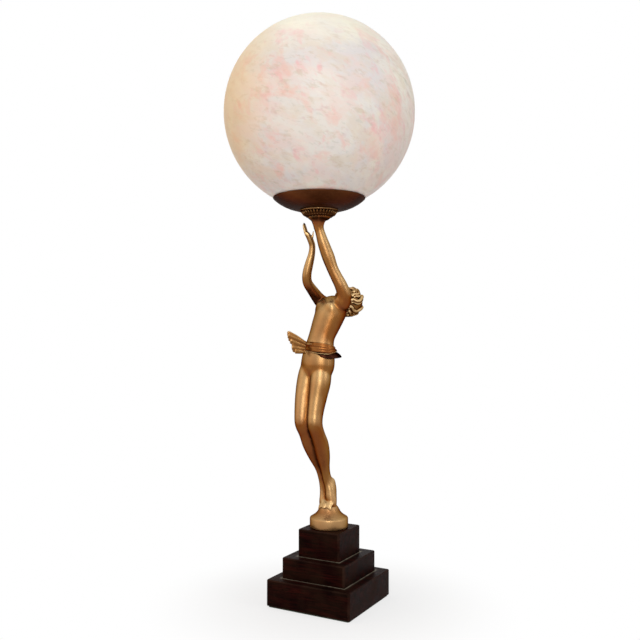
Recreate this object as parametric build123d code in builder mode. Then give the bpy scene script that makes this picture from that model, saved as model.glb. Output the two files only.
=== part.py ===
"""A figural table lamp: a cast bronze dancer on tiptoe holds up a mottled glass globe.

She stands on a round cast plinth, bolted to a base of three square steps in dark stained wood.
Millimetres, +Z up, the origin at the middle of the base's underside, the base's front facing -Y.
"""

from build123d import *
import os
from math import cos, radians, sin, sqrt

# ---- Driving dimensions -------------------------------------------------------------------------

# Base: felt pad and three square steps, each set back equally.
FELT = 1.5
STEP_SIDES = (95.0, 72.0, 48.0)
STEP_TOPS = (28.0, 49.0, 77.0)
STEP_CORNER = 2.0
STEP_EDGE = 0.8
CAVITY_RADIUS = 28.0
CAVITY_ROOF = 17.0
CORD_HOLE_Z = 10.0
BUSH_RADIUS = 5.0
BUSH_BORE = 3.25
BUSH_FLANGE = 7.0
BUSH_LENGTH = 14.0
BUSH_LIP = 1.5

# Hollow M10 rods: one clamps the base to the plinth, one carries the gallery on the raised hand.
ROD_RADIUS = 5.0
ROD_BORE = 3.2
ROD_CLEARANCE = 0.2
NUT_ACROSS_CORNERS = 16.0
NUT_HEIGHT = 4.0
WASHER_RADIUS = 12.0
WASHER = 1.5

# Cast plinth under the feet.
PLINTH_RADIUS = 19.5
PLINTH_DISC = 10.5
MOUND_HEIGHT = 13.0
MOUND_TOP_RADIUS = 9.4

# The figure is laid out facing the sight line it is seen from, then turned onto the base.
FIGURE_TURN = 29.0
FLEX_RADIUS = 1.5
FLEX_BORE = 1.9

# Globe, gallery dish and the ornamental cup under it, all on one upright axis over the raised hand.
GLOBE_X, GLOBE_Y = -6.0, -12.5
GLOBE_RADIUS = 100.0
GLOBE_WALL = 3.5
GLOBE_CENTRE_Z = 510.0
GLOBE_MOUTH = 36.0
GLOBE_SEAT_Z = 418.5
GLOBE_SEAT_GAP = 0.05
DISH_FLOOR_Z = 408.8
DISH_FLAT = 18.0
DISH_RIM = 48.5
DISH_RIM_Z = 420.9
DISH_SHEET = 0.8
DISH_BELLY = (33.0, 412.6)
DISH_EDGE_ROLL = (0.6, 0.7)
CUP_FOOT_Z = 401.5
CUP_RADIUS = 20.0
CUP_FOOT_RADIUS = 14.0
CUP_BOWL = (17.0, 403.6)
CUP_LIP = (18.6, 406.6)
CUP_BAND_Z = 407.2
CUP_BEADS = 20
BEAD_RADIUS = 1.5
BEAD_CIRCLE = 17.6
BEAD_Z = 404.8

# Lampholder and bulb.
HOLDER_RADIUS = 17.5
HOLDER_FOOT_Z = 414.0
HOLDER_TOP_Z = 462.0
HOLDER_CAP_HEIGHT = 14.0
BULB_TIP_Z = 441.0
BULB_CAP_RADIUS = 13.2
BULB_RADIUS = 30.0
BULB_CENTRE_Z = 517.5

# ---- Layout helpers -----------------------------------------------------------------------------


def on_base(x, y, z):
    """A point of the figure's layout (x right, y away, z up), turned onto the base."""
    return Vector(x, y, z).rotate(Axis.Z, FIGURE_TURN)


def loft_limb(sections):
    """Lofts ellipses (x, y, z, half width, half depth, facing) square to the line of their centres."""
    centres = [on_base(*section[:3]) for section in sections]
    last = len(centres) - 1
    with BuildPart() as limb:
        for i, (_, _, _, half_width, half_depth, facing) in enumerate(sections):
            along = (centres[min(i + 1, last)] - centres[max(i - 1, 0)]).normalized()
            sideways = on_base(cos(radians(facing)), -sin(radians(facing)), 0)
            sideways = sideways - along * sideways.dot(along)
            with BuildSketch(Plane(centres[i], x_dir=sideways, z_dir=along)):
                Ellipse(half_width, half_depth)
        loft()
    return limb.part


def finger(points, root_radius, tip_radius):
    """A tapering finger through points, with a ball at each joint and at its tip."""
    joints = [on_base(*point) for point in points]
    with BuildPart() as digit:
        for i, (start, end) in enumerate(zip(joints, joints[1:])):
            near = root_radius + (tip_radius - root_radius) * i / (len(joints) - 1)
            far = root_radius + (tip_radius - root_radius) * (i + 1) / (len(joints) - 1)
            length = (end - start).length
            with BuildSketch(Plane(start, z_dir=end - start)):
                Circle(near)
            with BuildSketch(Plane(start, z_dir=end - start).offset(length)):
                Circle(far)
            loft()
            with Locations(end):
                Sphere(far)
    return digit.part


def save(part, name):
    """Labels a finished piece and writes it under its node name."""
    part.label = name
    export_step(part, f"parts/{name}.step")


# ---- Base: felt, three steps, dowels ------------------------------------------------------------

with BuildPart() as base_felt:
    with BuildSketch():
        RectangleRounded(STEP_SIDES[0] - 3, STEP_SIDES[0] - 3, STEP_CORNER)
    extrude(amount=FELT)


def wooden_step(side, bottom, top):
    """One square step with eased corners, drilled down the middle for the clamp rod."""
    with BuildPart() as step:
        with BuildSketch(Plane.XY.offset(bottom)):
            RectangleRounded(side, side, STEP_CORNER)
        extrude(amount=top - bottom)
        chamfer(step.faces().sort_by(Axis.Z)[-1].edges(), STEP_EDGE)
        with BuildSketch(Plane.XY.offset(bottom)):
            Circle(ROD_RADIUS + ROD_CLEARANCE)
        extrude(amount=top - bottom, mode=Mode.SUBTRACT)
    return step.part


DOWEL_RADIUS = 2.5
DOWEL_REACH = 6.0
DOWEL_SPREAD = 15.0


with BuildPart() as step_dowels:
    for joint_z in STEP_TOPS[:2]:
        with BuildSketch(Plane.XY.offset(joint_z - DOWEL_REACH)):
            with Locations((DOWEL_SPREAD, DOWEL_SPREAD), (-DOWEL_SPREAD, -DOWEL_SPREAD)):
                Circle(DOWEL_RADIUS)
        extrude(amount=2 * DOWEL_REACH)

with BuildPart() as base_step_lower:
    add(wooden_step(STEP_SIDES[0], FELT, STEP_TOPS[0]))
    with BuildSketch(Plane.XY.offset(FELT)):
        Circle(CAVITY_RADIUS)
    extrude(amount=CAVITY_ROOF - FELT, mode=Mode.SUBTRACT)
    with BuildSketch(Plane.XZ.offset(-STEP_SIDES[0] / 2)):
        with Locations((0, CORD_HOLE_Z)):
            Circle(BUSH_RADIUS)
    extrude(amount=STEP_SIDES[0] / 2 - CAVITY_RADIUS + 5, mode=Mode.SUBTRACT)
    add(step_dowels.part, mode=Mode.SUBTRACT)

with BuildPart() as base_step_middle:
    add(wooden_step(STEP_SIDES[1], STEP_TOPS[0], STEP_TOPS[1]))
    add(step_dowels.part, mode=Mode.SUBTRACT)

with BuildPart() as base_step_upper:
    add(wooden_step(STEP_SIDES[2], STEP_TOPS[1], STEP_TOPS[2]))
    add(step_dowels.part, mode=Mode.SUBTRACT)

# ---- Cord inlet and terminal block --------------------------------------------------------------

BACK_FACE = STEP_SIDES[0] / 2

with BuildPart() as cord_bushing:
    with BuildSketch(Plane.XZ.offset(-BACK_FACE)):
        with Locations((0, CORD_HOLE_Z)):
            Circle(BUSH_RADIUS)
    extrude(amount=BUSH_LENGTH)
    with BuildSketch(Plane.XZ.offset(-BACK_FACE)):
        with Locations((0, CORD_HOLE_Z)):
            Circle(BUSH_FLANGE)
    extrude(amount=-BUSH_LIP)
    fillet(cord_bushing.faces().sort_by(Axis.Y)[-1].edges(), 0.7)
    with BuildSketch(Plane.XZ.offset(-BACK_FACE - BUSH_LIP)):
        with Locations((0, CORD_HOLE_Z)):
            Circle(BUSH_BORE)
    extrude(amount=BUSH_LENGTH + BUSH_LIP, mode=Mode.SUBTRACT)

BLOCK_X = -18.5
BLOCK_LENGTH, BLOCK_WIDTH, BLOCK_HEIGHT = 13.0, 16.0, 14.0
BLOCK_FOOT = CAVITY_ROOF - BLOCK_HEIGHT
BLOCK_SCREW = 1.6
SCREW_SPREAD = 4.5
SCREW_DEPTH = 4.0
SCREW_SINK = 1.0
SCREW_SLOT = 0.6

with BuildPart() as terminal_block:
    with BuildSketch(Plane.XY.offset(BLOCK_FOOT)):
        with Locations((BLOCK_X, 0)):
            RectangleRounded(BLOCK_LENGTH, BLOCK_WIDTH, 1.5)
    extrude(amount=BLOCK_HEIGHT)
    with BuildSketch(Plane.XY.offset(BLOCK_FOOT)):
        with Locations((BLOCK_X, -SCREW_SPREAD), (BLOCK_X, SCREW_SPREAD)):
            Circle(BLOCK_SCREW)
    extrude(amount=SCREW_SINK + SCREW_DEPTH, mode=Mode.SUBTRACT)

with BuildPart() as terminal_screws:
    with BuildSketch(Plane.XY.offset(BLOCK_FOOT + SCREW_SINK)):
        with Locations((BLOCK_X, -SCREW_SPREAD), (BLOCK_X, SCREW_SPREAD)):
            Circle(BLOCK_SCREW - 0.05)
    extrude(amount=SCREW_DEPTH)
    with BuildSketch(Plane.XY.offset(BLOCK_FOOT + SCREW_SINK)):
        with Locations((BLOCK_X, -SCREW_SPREAD), (BLOCK_X, SCREW_SPREAD)):
            Rectangle(2 * BLOCK_SCREW, SCREW_SLOT)
    extrude(amount=SCREW_SLOT, mode=Mode.SUBTRACT)

# ---- Clamp rod, washer and nut ------------------------------------------------------------------

BASE_TOP = STEP_TOPS[2]
ROD_FOOT = CAVITY_ROOF - WASHER - NUT_HEIGHT
PLINTH_TAP = 9.0
RIM_ROUND = (1.2, 1.6)
MOUND_SHOULDER = 1.5
MOUND_WAIST = (12.0, 6.1)


def hollow_rod(x, y, bottom, top):
    """A plain stretch of hollow threaded rod."""
    with BuildPart() as rod:
        with BuildSketch(Plane.XY.offset(bottom)):
            with Locations((x, y)):
                Circle(ROD_RADIUS)
                Circle(ROD_BORE, mode=Mode.SUBTRACT)
        extrude(amount=top - bottom)
        chamfer(rod.edges().filter_by(GeomType.CIRCLE).group_by(SortBy.RADIUS)[-1], 0.4)
    return rod.part


def hex_nut(x, y, bottom):
    """A hexagon nut for the hollow rod."""
    with BuildPart() as nut:
        with BuildSketch(Plane.XY.offset(bottom)):
            with Locations((x, y)):
                RegularPolygon(NUT_ACROSS_CORNERS / 2, 6)
                Circle(ROD_RADIUS, mode=Mode.SUBTRACT)
        extrude(amount=NUT_HEIGHT)
    return nut.part


clamp_rod = hollow_rod(0, 0, ROD_FOOT, BASE_TOP + PLINTH_TAP)
clamp_nut = hex_nut(0, 0, ROD_FOOT)

with BuildPart() as clamp_washer:
    with BuildSketch(Plane.XY.offset(CAVITY_ROOF - WASHER)):
        Circle(WASHER_RADIUS)
        Circle(ROD_RADIUS + ROD_CLEARANCE, mode=Mode.SUBTRACT)
    extrude(amount=WASHER)

# ---- The figure ---------------------------------------------------------------------------------
# Each section is x, y, z, half width across the body, half depth front to back, and the way it
# faces: degrees from the sight line towards the left. Hips face 37, the twisted chest 50.

TORSO = [
    (-15.5, -4.0, 227.0, 6.0, 5.0, 37),
    (-14.4, -2.5, 234.0, 14.0, 11.0, 37),
    (-13.2, -1.2, 242.0, 17.2, 13.4, 37),
    (-12.4, 0.0, 251.0, 17.6, 14.0, 37),
    (-11.8, 1.0, 262.0, 16.0, 12.6, 39),
    (-9.7, 2.0, 275.0, 13.4, 10.8, 42),
    (-5.0, 4.0, 288.0, 14.8, 12.3, 46),
    (0.4, 6.0, 300.0, 17.0, 14.2, 50),
    (4.0, 8.5, 311.0, 17.0, 12.8, 50),
    (6.0, 11.0, 319.0, 10.5, 7.5, 50),
]
LEFT_LEG = [
    (-10.5, -1.0, 252.0, 4.5, 5.0, 37),
    (-8.8, -5.0, 243.0, 9.0, 10.0, 37),
    (-9.6, -9.5, 230.0, 10.6, 11.0, 37),
    (-12.4, -13.0, 213.0, 9.3, 9.8, 37),
    (-14.8, -17.0, 197.0, 8.1, 8.5, 37),
    (-15.5, -19.0, 186.0, 7.6, 8.0, 37),
    (-13.0, -16.0, 176.0, 7.1, 7.2, 37),
    (-9.2, -10.5, 164.0, 7.3, 7.9, 37),
    (-6.9, -6.0, 151.0, 6.5, 6.9, 37),
    (-4.6, -2.5, 138.0, 4.5, 5.0, 37),
    (-2.4, 0.0, 127.0, 4.0, 5.2, 37),
    (0.4, 1.2, 119.0, 4.8, 6.8, 37),
    (1.0, -0.8, 110.0, 4.9, 5.8, 37),
    (0.6, -3.6, 103.0, 5.0, 4.2, 37),
    (-1.0, -6.6, 99.5, 4.4, 2.6, 37),
]
RIGHT_LEG = [
    (-18.0, 4.0, 252.0, 4.5, 5.0, 37),
    (-20.3, 3.5, 243.0, 9.4, 10.6, 37),
    (-22.5, 1.0, 230.0, 10.8, 11.6, 37),
    (-25.5, -4.5, 213.0, 9.6, 10.4, 37),
    (-27.5, -10.0, 197.0, 8.2, 8.7, 37),
    (-28.0, -12.5, 186.0, 7.5, 7.6, 37),
    (-24.6, -10.0, 176.0, 6.9, 6.9, 37),
    (-20.8, -5.5, 164.0, 6.9, 7.5, 37),
    (-15.6, -0.5, 151.0, 6.2, 6.6, 37),
    (-10.4, 3.4, 138.0, 4.2, 4.7, 37),
    (-7.6, 5.9, 127.0, 3.7, 4.8, 37),
    (-5.9, 6.4, 119.0, 4.1, 5.8, 37),
    (-6.2, 4.4, 110.0, 4.3, 4.8, 37),
    (-7.6, 1.2, 103.0, 4.5, 3.6, 37),
    (-9.2, -1.8, 99.5, 4.0, 2.4, 37),
]
LEFT_ARM = [
    (13.0, -1.0, 308.0, 7.4, 8.0, 50),
    (15.6, -5.0, 318.0, 7.2, 7.8, 50),
    (12.8, -7.5, 329.0, 6.1, 6.5, 50),
    (8.0, -8.0, 339.0, 5.6, 5.9, 50),
    (3.8, -8.0, 348.0, 5.4, 5.7, 50),
    (-0.8, -8.0, 360.0, 5.6, 5.9, 50),
    (-5.2, -8.0, 372.0, 4.9, 5.1, 50),
    (-9.4, -8.0, 385.0, 3.9, 4.1, 50),
    (-10.9, -8.0, 392.5, 4.6, 4.8, 50),
    (-11.3, -8.0, 397.5, 7.4, 7.0, 50),
    (-11.3, -8.0, 402.8, 12.4, 11.0, 50),
]
RIGHT_ARM = [
    (-3.0, 16.5, 307.0, 7.0, 7.5, 50),
    (-8.5, 18.0, 314.5, 6.9, 7.3, 50),
    (-13.6, 14.0, 321.0, 6.0, 6.4, 50),
    (-18.8, 7.5, 327.6, 5.2, 5.5, 50),
    (-23.2, 1.0, 333.6, 4.9, 5.1, 50),
    (-24.4, -1.5, 341.5, 4.8, 5.0, 50),
    (-22.3, -2.0, 352.0, 4.4, 4.7, 50),
    (-19.6, -2.0, 363.0, 3.5, 3.7, 50),
    (-18.4, -2.0, 372.0, 2.8, 3.2, 50),
    (-20.6, -2.4, 379.5, 2.4, 4.2, 50),
    (-24.4, -3.0, 385.5, 1.7, 4.2, 50),
]
NECK = [
    (1.0, 7.5, 308.0, 7.0, 7.0, 50),
    (6.0, 12.0, 315.0, 5.8, 6.0, 50),
    (13.0, 18.0, 316.0, 5.6, 5.8, 50),
]
HEAD = [
    (34.4, 36.0, 313.0, 4.6, 5.0, 50),
    (32.3, 34.2, 313.0, 8.4, 9.6, 50),
    (28.7, 31.2, 313.2, 11.8, 13.6, 50),
    (24.1, 27.2, 313.4, 13.6, 15.8, 50),
    (18.8, 22.7, 313.8, 12.8, 14.6, 50),
    (14.9, 19.4, 315.2, 10.0, 10.8, 50),
    (11.4, 16.5, 317.2, 7.4, 7.0, 50),
    (8.2, 13.9, 318.8, 4.6, 4.4, 50),
]
HEELS = [(3.4, 3.2, 121.0), (-3.4, 8.8, 120.5)]
HEEL_RADIUS = 3.8
BREASTS = [(-1.4, -4.2, 304.5), (-9.7, 5.7, 305.0)]
BREAST_RADIUS = 6.6

# The flex climbs inside the figure: foot, calf, thigh, trunk, left arm and palm, then the nipple.
FLEX_ROUTE = [
    on_base(0, 0, 92),
    on_base(1.2, -2.4, 106),
    on_base(-1.2, 0.4, 122),
    on_base(-5.5, -4.5, 146),
    on_base(-15.0, -17.5, 186),
    on_base(-11.5, -8.0, 228),
    on_base(-10.0, 2.0, 268),
    on_base(2.0, 5.0, 300),
    on_base(14.5, -5.0, 319),
    on_base(4.0, -8.0, 347),
    Vector(GLOBE_X, GLOBE_Y, 388),
]
FLEX_TOP = Vector(GLOBE_X, GLOBE_Y, HOLDER_FOOT_Z + HOLDER_CAP_HEIGHT)
FLEX_LEVEL = 5.5
FLEX_START = Vector(BLOCK_X + BLOCK_LENGTH / 2, 0, FLEX_LEVEL)
FLEX_UNDER_ROD = Vector(0, 0, FLEX_LEVEL)
FLEX_TURN_UNDER_ROD = 9.0


FLEX_POINTS = [FLEX_START, FLEX_UNDER_ROD, *FLEX_ROUTE, FLEX_TOP]
FLEX_WIDEST_TURN = 90.0

# The runs are joined by arcs as large as the shorter run at each corner allows.
flex_turns = []
for before, here, after in zip(FLEX_POINTS, FLEX_POINTS[1:], FLEX_POINTS[2:]):
    shorter = min((here - before).length, (after - here).length)
    half_turn = radians((here - before).get_angle(after - here) / 2)
    flex_turns.append(min(0.45 * shorter * cos(half_turn) / sin(half_turn), FLEX_WIDEST_TURN))
flex_turns[0] = FLEX_TURN_UNDER_ROD


def flex_tube(radius):
    """A round tube along the flex's line."""
    with BuildPart() as tube:
        with BuildLine() as line:
            FilletPolyline(*FLEX_POINTS, radius=flex_turns)
        with BuildSketch(Plane(FLEX_POINTS[0], z_dir=FLEX_POINTS[1] - FLEX_POINTS[0])):
            Circle(radius)
        sweep(path=line.wire())
    return tube.part


inner_flex = flex_tube(FLEX_RADIUS)
flex_way = flex_tube(FLEX_BORE)
print("the flex's turns, mm:", [round(turn, 1) for turn in flex_turns])

DISC_TOP = BASE_TOP + PLINTH_DISC
MOUND_TOP = DISC_TOP + MOUND_HEIGHT
MOUND_EDGE = (MOUND_TOP_RADIUS, MOUND_TOP - MOUND_SHOULDER)
RIM_EDGE = (PLINTH_RADIUS - RIM_ROUND[0], DISC_TOP + RIM_ROUND[1])

with BuildPart() as figure_plinth:
    with BuildSketch(Plane.XZ):
        with BuildLine():
            Polyline(RIM_EDGE, (PLINTH_RADIUS, DISC_TOP), (PLINTH_RADIUS, BASE_TOP), (0, BASE_TOP))
            Polyline((0, BASE_TOP), (0, MOUND_TOP), MOUND_EDGE)
            ThreePointArc(MOUND_EDGE, (MOUND_WAIST[0], DISC_TOP + MOUND_WAIST[1]), RIM_EDGE)
        make_face()
    revolve(axis=Axis.Z)
    with BuildSketch(Plane.XY.offset(BASE_TOP)):
        Circle(ROD_RADIUS)
    extrude(amount=PLINTH_TAP, mode=Mode.SUBTRACT)
    add(flex_way, mode=Mode.SUBTRACT)

with BuildPart() as figure_body:
    add(loft_limb(TORSO))
    add(loft_limb(LEFT_LEG))
    add(loft_limb(RIGHT_LEG))
    add(loft_limb(NECK))
    with Locations(*[on_base(*heel) for heel in HEELS]):
        Sphere(HEEL_RADIUS)
    with Locations(*[on_base(*breast) for breast in BREASTS]):
        Sphere(BREAST_RADIUS)
    add(flex_way, mode=Mode.SUBTRACT)
    add(figure_plinth.part, mode=Mode.SUBTRACT)

with BuildPart() as figure_head:
    add(loft_limb(HEAD))
    add(figure_body.part, mode=Mode.SUBTRACT)

# The fingers of the raised hand spread from its palm under the cup: reach from the cup's axis and z.
CARRY_FINGERS = 5
CARRY_FIRST_TURN, CARRY_STEP = 150, 62
CARRY_AXIS = (-11.3, -8.0)
CARRY_JOINTS = ((5.0, 398.5), (11.0, 399.2), (14.6, 401.8))
NIPPLE_DEPTH = 2.5

with BuildPart() as left_arm:
    add(loft_limb(LEFT_ARM))
    for i in range(CARRY_FINGERS):
        turn = radians(CARRY_FIRST_TURN + i * CARRY_STEP)
        joints = [
            (CARRY_AXIS[0] + reach * cos(turn), CARRY_AXIS[1] + reach * sin(turn), z)
            for reach, z in CARRY_JOINTS
        ]
        add(finger(joints, 2.0, 1.5))
    with BuildSketch(Plane.XY.offset(CUP_FOOT_Z)):
        with Locations((GLOBE_X, GLOBE_Y)):
            Circle(CUP_RADIUS)
    extrude(amount=10, mode=Mode.SUBTRACT)
    with BuildSketch(Plane.XY.offset(CUP_FOOT_Z)):
        with Locations((GLOBE_X, GLOBE_Y)):
            Circle(ROD_RADIUS)
    extrude(amount=-NIPPLE_DEPTH, mode=Mode.SUBTRACT)
    add(flex_way, mode=Mode.SUBTRACT)
    add(figure_body.part, mode=Mode.SUBTRACT)
    add(figure_head.part, mode=Mode.SUBTRACT)

RIGHT_FINGERS = [
    [(-26.0, -4.8, 382.8), (-28.2, -5.4, 389.6), (-29.2, -5.6, 395.0)],
    [(-24.6, -3.5, 383.8), (-27.4, -3.9, 390.8), (-28.6, -4.0, 397.4)],
    [(-23.2, -2.2, 384.4), (-26.0, -2.3, 391.0), (-27.2, -2.2, 397.0)],
    [(-21.9, -1.0, 384.8), (-24.2, -0.7, 390.4), (-25.0, 0.0, 394.8)],
]
RIGHT_THUMB = [(-20.2, -3.0, 376.5), (-18.4, -5.0, 383.0), (-17.8, -4.6, 387.2)]

with BuildPart() as right_arm:
    add(loft_limb(RIGHT_ARM))
    for joints in RIGHT_FINGERS:
        add(finger(joints, 1.3, 0.8))
    add(finger(RIGHT_THUMB, 1.5, 0.7))
    add(figure_body.part, mode=Mode.SUBTRACT)
    add(figure_head.part, mode=Mode.SUBTRACT)

# ---- The sash: a folded band round the hips, a pleated fan of cloth in front, a flared hem behind -

SASH_BAND = [
    (-13.4, 0.5, 257.8, 17.2, 13.8, 38),
    (-13.0, 0.7, 259.2, 18.2, 14.9, 38),
    (-12.3, 0.9, 262.0, 17.8, 14.4, 39),
    (-11.6, 1.2, 265.0, 17.2, 13.8, 40),
    (-10.9, 1.5, 267.8, 16.2, 13.0, 41),
    (-10.6, 1.6, 269.2, 14.8, 11.9, 42),
]
# Each pleat of the fan runs from the gather by way of a fold to its end, as a flattened oval.
FAN_PLEATS = [
    ((-22.0, -6.6, 269.0), (-33.5, -12.0, 275.2), (-44.0, -14.4, 280.8)),
    ((-22.0, -8.0, 267.4), (-33.8, -13.4, 271.6), (-42.8, -15.4, 276.0)),
    ((-22.0, -7.4, 265.8), (-33.6, -12.0, 268.6), (-41.6, -14.0, 271.2)),
    ((-22.0, -8.6, 264.2), (-33.0, -13.4, 265.4), (-39.3, -15.3, 266.9)),
    ((-22.0, -8.0, 262.6), (-32.6, -12.0, 262.4), (-38.5, -13.9, 262.4)),
    ((-22.0, -8.8, 261.0), (-31.6, -13.0, 259.8), (-36.2, -14.7, 259.4)),
]
PLEAT_HALVES = ((1.2, 1.6), (1.3, 2.6), (1.1, 3.1))
PLEAT_FACING = 90.0
HEM_CENTRE = (-12.6, 0.6)
HEM_PROFILE = [(11.0, 262.5), (17.2, 261.5), (23.4, 254.6), (22.6, 253.8), (16.4, 258.6), (11.0, 259.0)]
HEM_START, HEM_SWEEP = -75.0, 150.0

with BuildPart() as hip_sash:
    add(loft_limb(SASH_BAND))
    add(figure_body.part, mode=Mode.SUBTRACT)
    add(flex_way, mode=Mode.SUBTRACT)

with BuildPart() as sash_fan:
    for stations in FAN_PLEATS:
        add(loft_limb([(*spot, *half, PLEAT_FACING) for spot, half in zip(stations, PLEAT_HALVES)]))
    add(figure_body.part, mode=Mode.SUBTRACT)
    add(hip_sash.part, mode=Mode.SUBTRACT)
    add(flex_way, mode=Mode.SUBTRACT)

with BuildPart() as sash_hem:
    hem_plane = Plane(
        on_base(*HEM_CENTRE, 0),
        x_dir=on_base(cos(radians(HEM_START)), sin(radians(HEM_START)), 0),
        z_dir=on_base(sin(radians(HEM_START)), -cos(radians(HEM_START)), 0),
    )
    with BuildSketch(hem_plane):
        with BuildLine():
            Polyline(*HEM_PROFILE, close=True)
        make_face()
    revolve(axis=Axis(on_base(*HEM_CENTRE, 0), (0, 0, 1)), revolution_arc=HEM_SWEEP)
    add(figure_body.part, mode=Mode.SUBTRACT)
    add(hip_sash.part, mode=Mode.SUBTRACT)

# ---- Ornamental cup, gallery dish, nipple and nut -----------------------------------------------

GLOBE_PLANE = Plane((GLOBE_X, GLOBE_Y, 0), x_dir=(1, 0, 0), z_dir=(0, -1, 0))
GLOBE_AXIS = Axis((GLOBE_X, GLOBE_Y, 0), (0, 0, 1))

with BuildPart() as support_cup:
    with BuildSketch(GLOBE_PLANE):
        with BuildLine():
            ThreePointArc((CUP_FOOT_RADIUS, CUP_FOOT_Z), CUP_BOWL, CUP_LIP)
            Polyline(
                CUP_LIP,
                (CUP_RADIUS, CUP_BAND_Z),
                (CUP_RADIUS, DISH_FLOOR_Z),
                (ROD_RADIUS, DISH_FLOOR_Z),
                (ROD_RADIUS, CUP_FOOT_Z),
                (CUP_FOOT_RADIUS, CUP_FOOT_Z),
            )
        make_face()
    revolve(axis=GLOBE_AXIS)
    with Locations((GLOBE_X, GLOBE_Y, BEAD_Z)):
        with PolarLocations(BEAD_CIRCLE, CUP_BEADS):
            Sphere(BEAD_RADIUS)

DISH_UPPER_FACE = [
    (DISH_FLAT, DISH_FLOOR_Z + DISH_SHEET),
    (DISH_BELLY[0] - 0.3, DISH_BELLY[1] + DISH_SHEET),
    (DISH_RIM - DISH_EDGE_ROLL[0], DISH_RIM_Z + DISH_EDGE_ROLL[1]),
]

with BuildPart() as gallery_dish:
    with BuildSketch(GLOBE_PLANE):
        with BuildLine():
            under = ThreePointArc((DISH_FLAT, DISH_FLOOR_Z), DISH_BELLY, (DISH_RIM, DISH_RIM_Z))
            over = ThreePointArc(*DISH_UPPER_FACE)
            Line(under @ 1, over @ 1)
            Polyline(
                under @ 0,
                (ROD_RADIUS + ROD_CLEARANCE, DISH_FLOOR_Z),
                (ROD_RADIUS + ROD_CLEARANCE, DISH_FLOOR_Z + DISH_SHEET),
                over @ 0,
            )
        make_face()
    revolve(axis=GLOBE_AXIS)

NIPPLE_FOOT = CUP_FOOT_Z - NIPPLE_DEPTH
cup_nipple = hollow_rod(GLOBE_X, GLOBE_Y, NIPPLE_FOOT, HOLDER_FOOT_Z + 9)
nipple_nut = hex_nut(GLOBE_X, GLOBE_Y, DISH_FLOOR_Z + DISH_SHEET)

# ---- Felt cushion and glass globe ---------------------------------------------------------------

CUSHION_INNER = 33.5
CUSHION_OUTER = 41.0
CUSHION_DEPTH = 8.0

with BuildPart() as globe_cushion:
    with BuildSketch(GLOBE_PLANE):
        with Locations(((CUSHION_INNER + CUSHION_OUTER) / 2, GLOBE_SEAT_Z - CUSHION_DEPTH / 2)):
            Rectangle(CUSHION_OUTER - CUSHION_INNER, CUSHION_DEPTH)
        with BuildLine():
            floor = ThreePointArc(*DISH_UPPER_FACE)
            Polyline(floor @ 1, (DISH_RIM, CUP_FOOT_Z), (DISH_FLAT, CUP_FOOT_Z), floor @ 0)
        make_face(mode=Mode.SUBTRACT)
    revolve(axis=GLOBE_AXIS)

with BuildPart() as globe_shade:
    inner_radius = GLOBE_RADIUS - GLOBE_WALL
    foot_z = GLOBE_SEAT_Z + GLOBE_SEAT_GAP
    seat_depth = GLOBE_CENTRE_Z - foot_z
    seat_outer = sqrt(GLOBE_RADIUS**2 - seat_depth**2)
    mouth_depth = sqrt(inner_radius**2 - GLOBE_MOUTH**2)
    with BuildSketch(GLOBE_PLANE):
        with BuildLine():
            ThreePointArc(
                (seat_outer, foot_z),
                (GLOBE_RADIUS, GLOBE_CENTRE_Z),
                (0, GLOBE_CENTRE_Z + GLOBE_RADIUS),
            )
            Line((0, GLOBE_CENTRE_Z + GLOBE_RADIUS), (0, GLOBE_CENTRE_Z + inner_radius))
            ThreePointArc(
                (0, GLOBE_CENTRE_Z + inner_radius),
                (inner_radius, GLOBE_CENTRE_Z),
                (GLOBE_MOUTH, GLOBE_CENTRE_Z - mouth_depth),
            )
            Polyline(
                (GLOBE_MOUTH, GLOBE_CENTRE_Z - mouth_depth),
                (GLOBE_MOUTH, foot_z),
                (seat_outer, foot_z),
            )
        make_face()
    revolve(axis=GLOBE_AXIS)

# ---- Screw lampholder ---------------------------------------------------------------------------


def turned(profile):
    """A piece turned about the globe's axis from a closed outline of (radius, height) points."""
    with BuildPart() as piece:
        with BuildSketch(GLOBE_PLANE):
            with BuildLine():
                Polyline(*profile, close=True)
            make_face()
        revolve(axis=GLOBE_AXIS)
    return piece.part


CAP_TOP = HOLDER_FOOT_Z + HOLDER_CAP_HEIGHT
SHELL_WALL = 1.0
INSULATOR_TOP = CAP_TOP + 10.0

holder_cap = turned(
    [
        (ROD_RADIUS, HOLDER_FOOT_Z),
        (9.0, HOLDER_FOOT_Z),
        (9.5, HOLDER_FOOT_Z + 4),
        (14.5, HOLDER_FOOT_Z + 7),
        (HOLDER_RADIUS - SHELL_WALL, HOLDER_FOOT_Z + 11),
        (HOLDER_RADIUS - SHELL_WALL, CAP_TOP),
        (HOLDER_RADIUS - SHELL_WALL - 1.5, CAP_TOP),
        (HOLDER_RADIUS - SHELL_WALL - 1.5, HOLDER_FOOT_Z + 11.6),
        (13.0, HOLDER_FOOT_Z + 8.6),
        (ROD_RADIUS, HOLDER_FOOT_Z + 6),
    ]
)
holder_shell = turned(
    [
        (HOLDER_RADIUS - SHELL_WALL, HOLDER_FOOT_Z + 11),
        (HOLDER_RADIUS, HOLDER_FOOT_Z + 11),
        (HOLDER_RADIUS, HOLDER_TOP_Z - 1),
        (HOLDER_RADIUS - 0.5, HOLDER_TOP_Z),
        (HOLDER_RADIUS - SHELL_WALL, HOLDER_TOP_Z),
    ]
)
holder_insulator = turned(
    [
        (2.4, CAP_TOP),
        (HOLDER_RADIUS - SHELL_WALL, CAP_TOP),
        (HOLDER_RADIUS - SHELL_WALL, INSULATOR_TOP),
        (2.4, INSULATOR_TOP),
    ]
)
SCREW_BORE = 13.28
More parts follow.
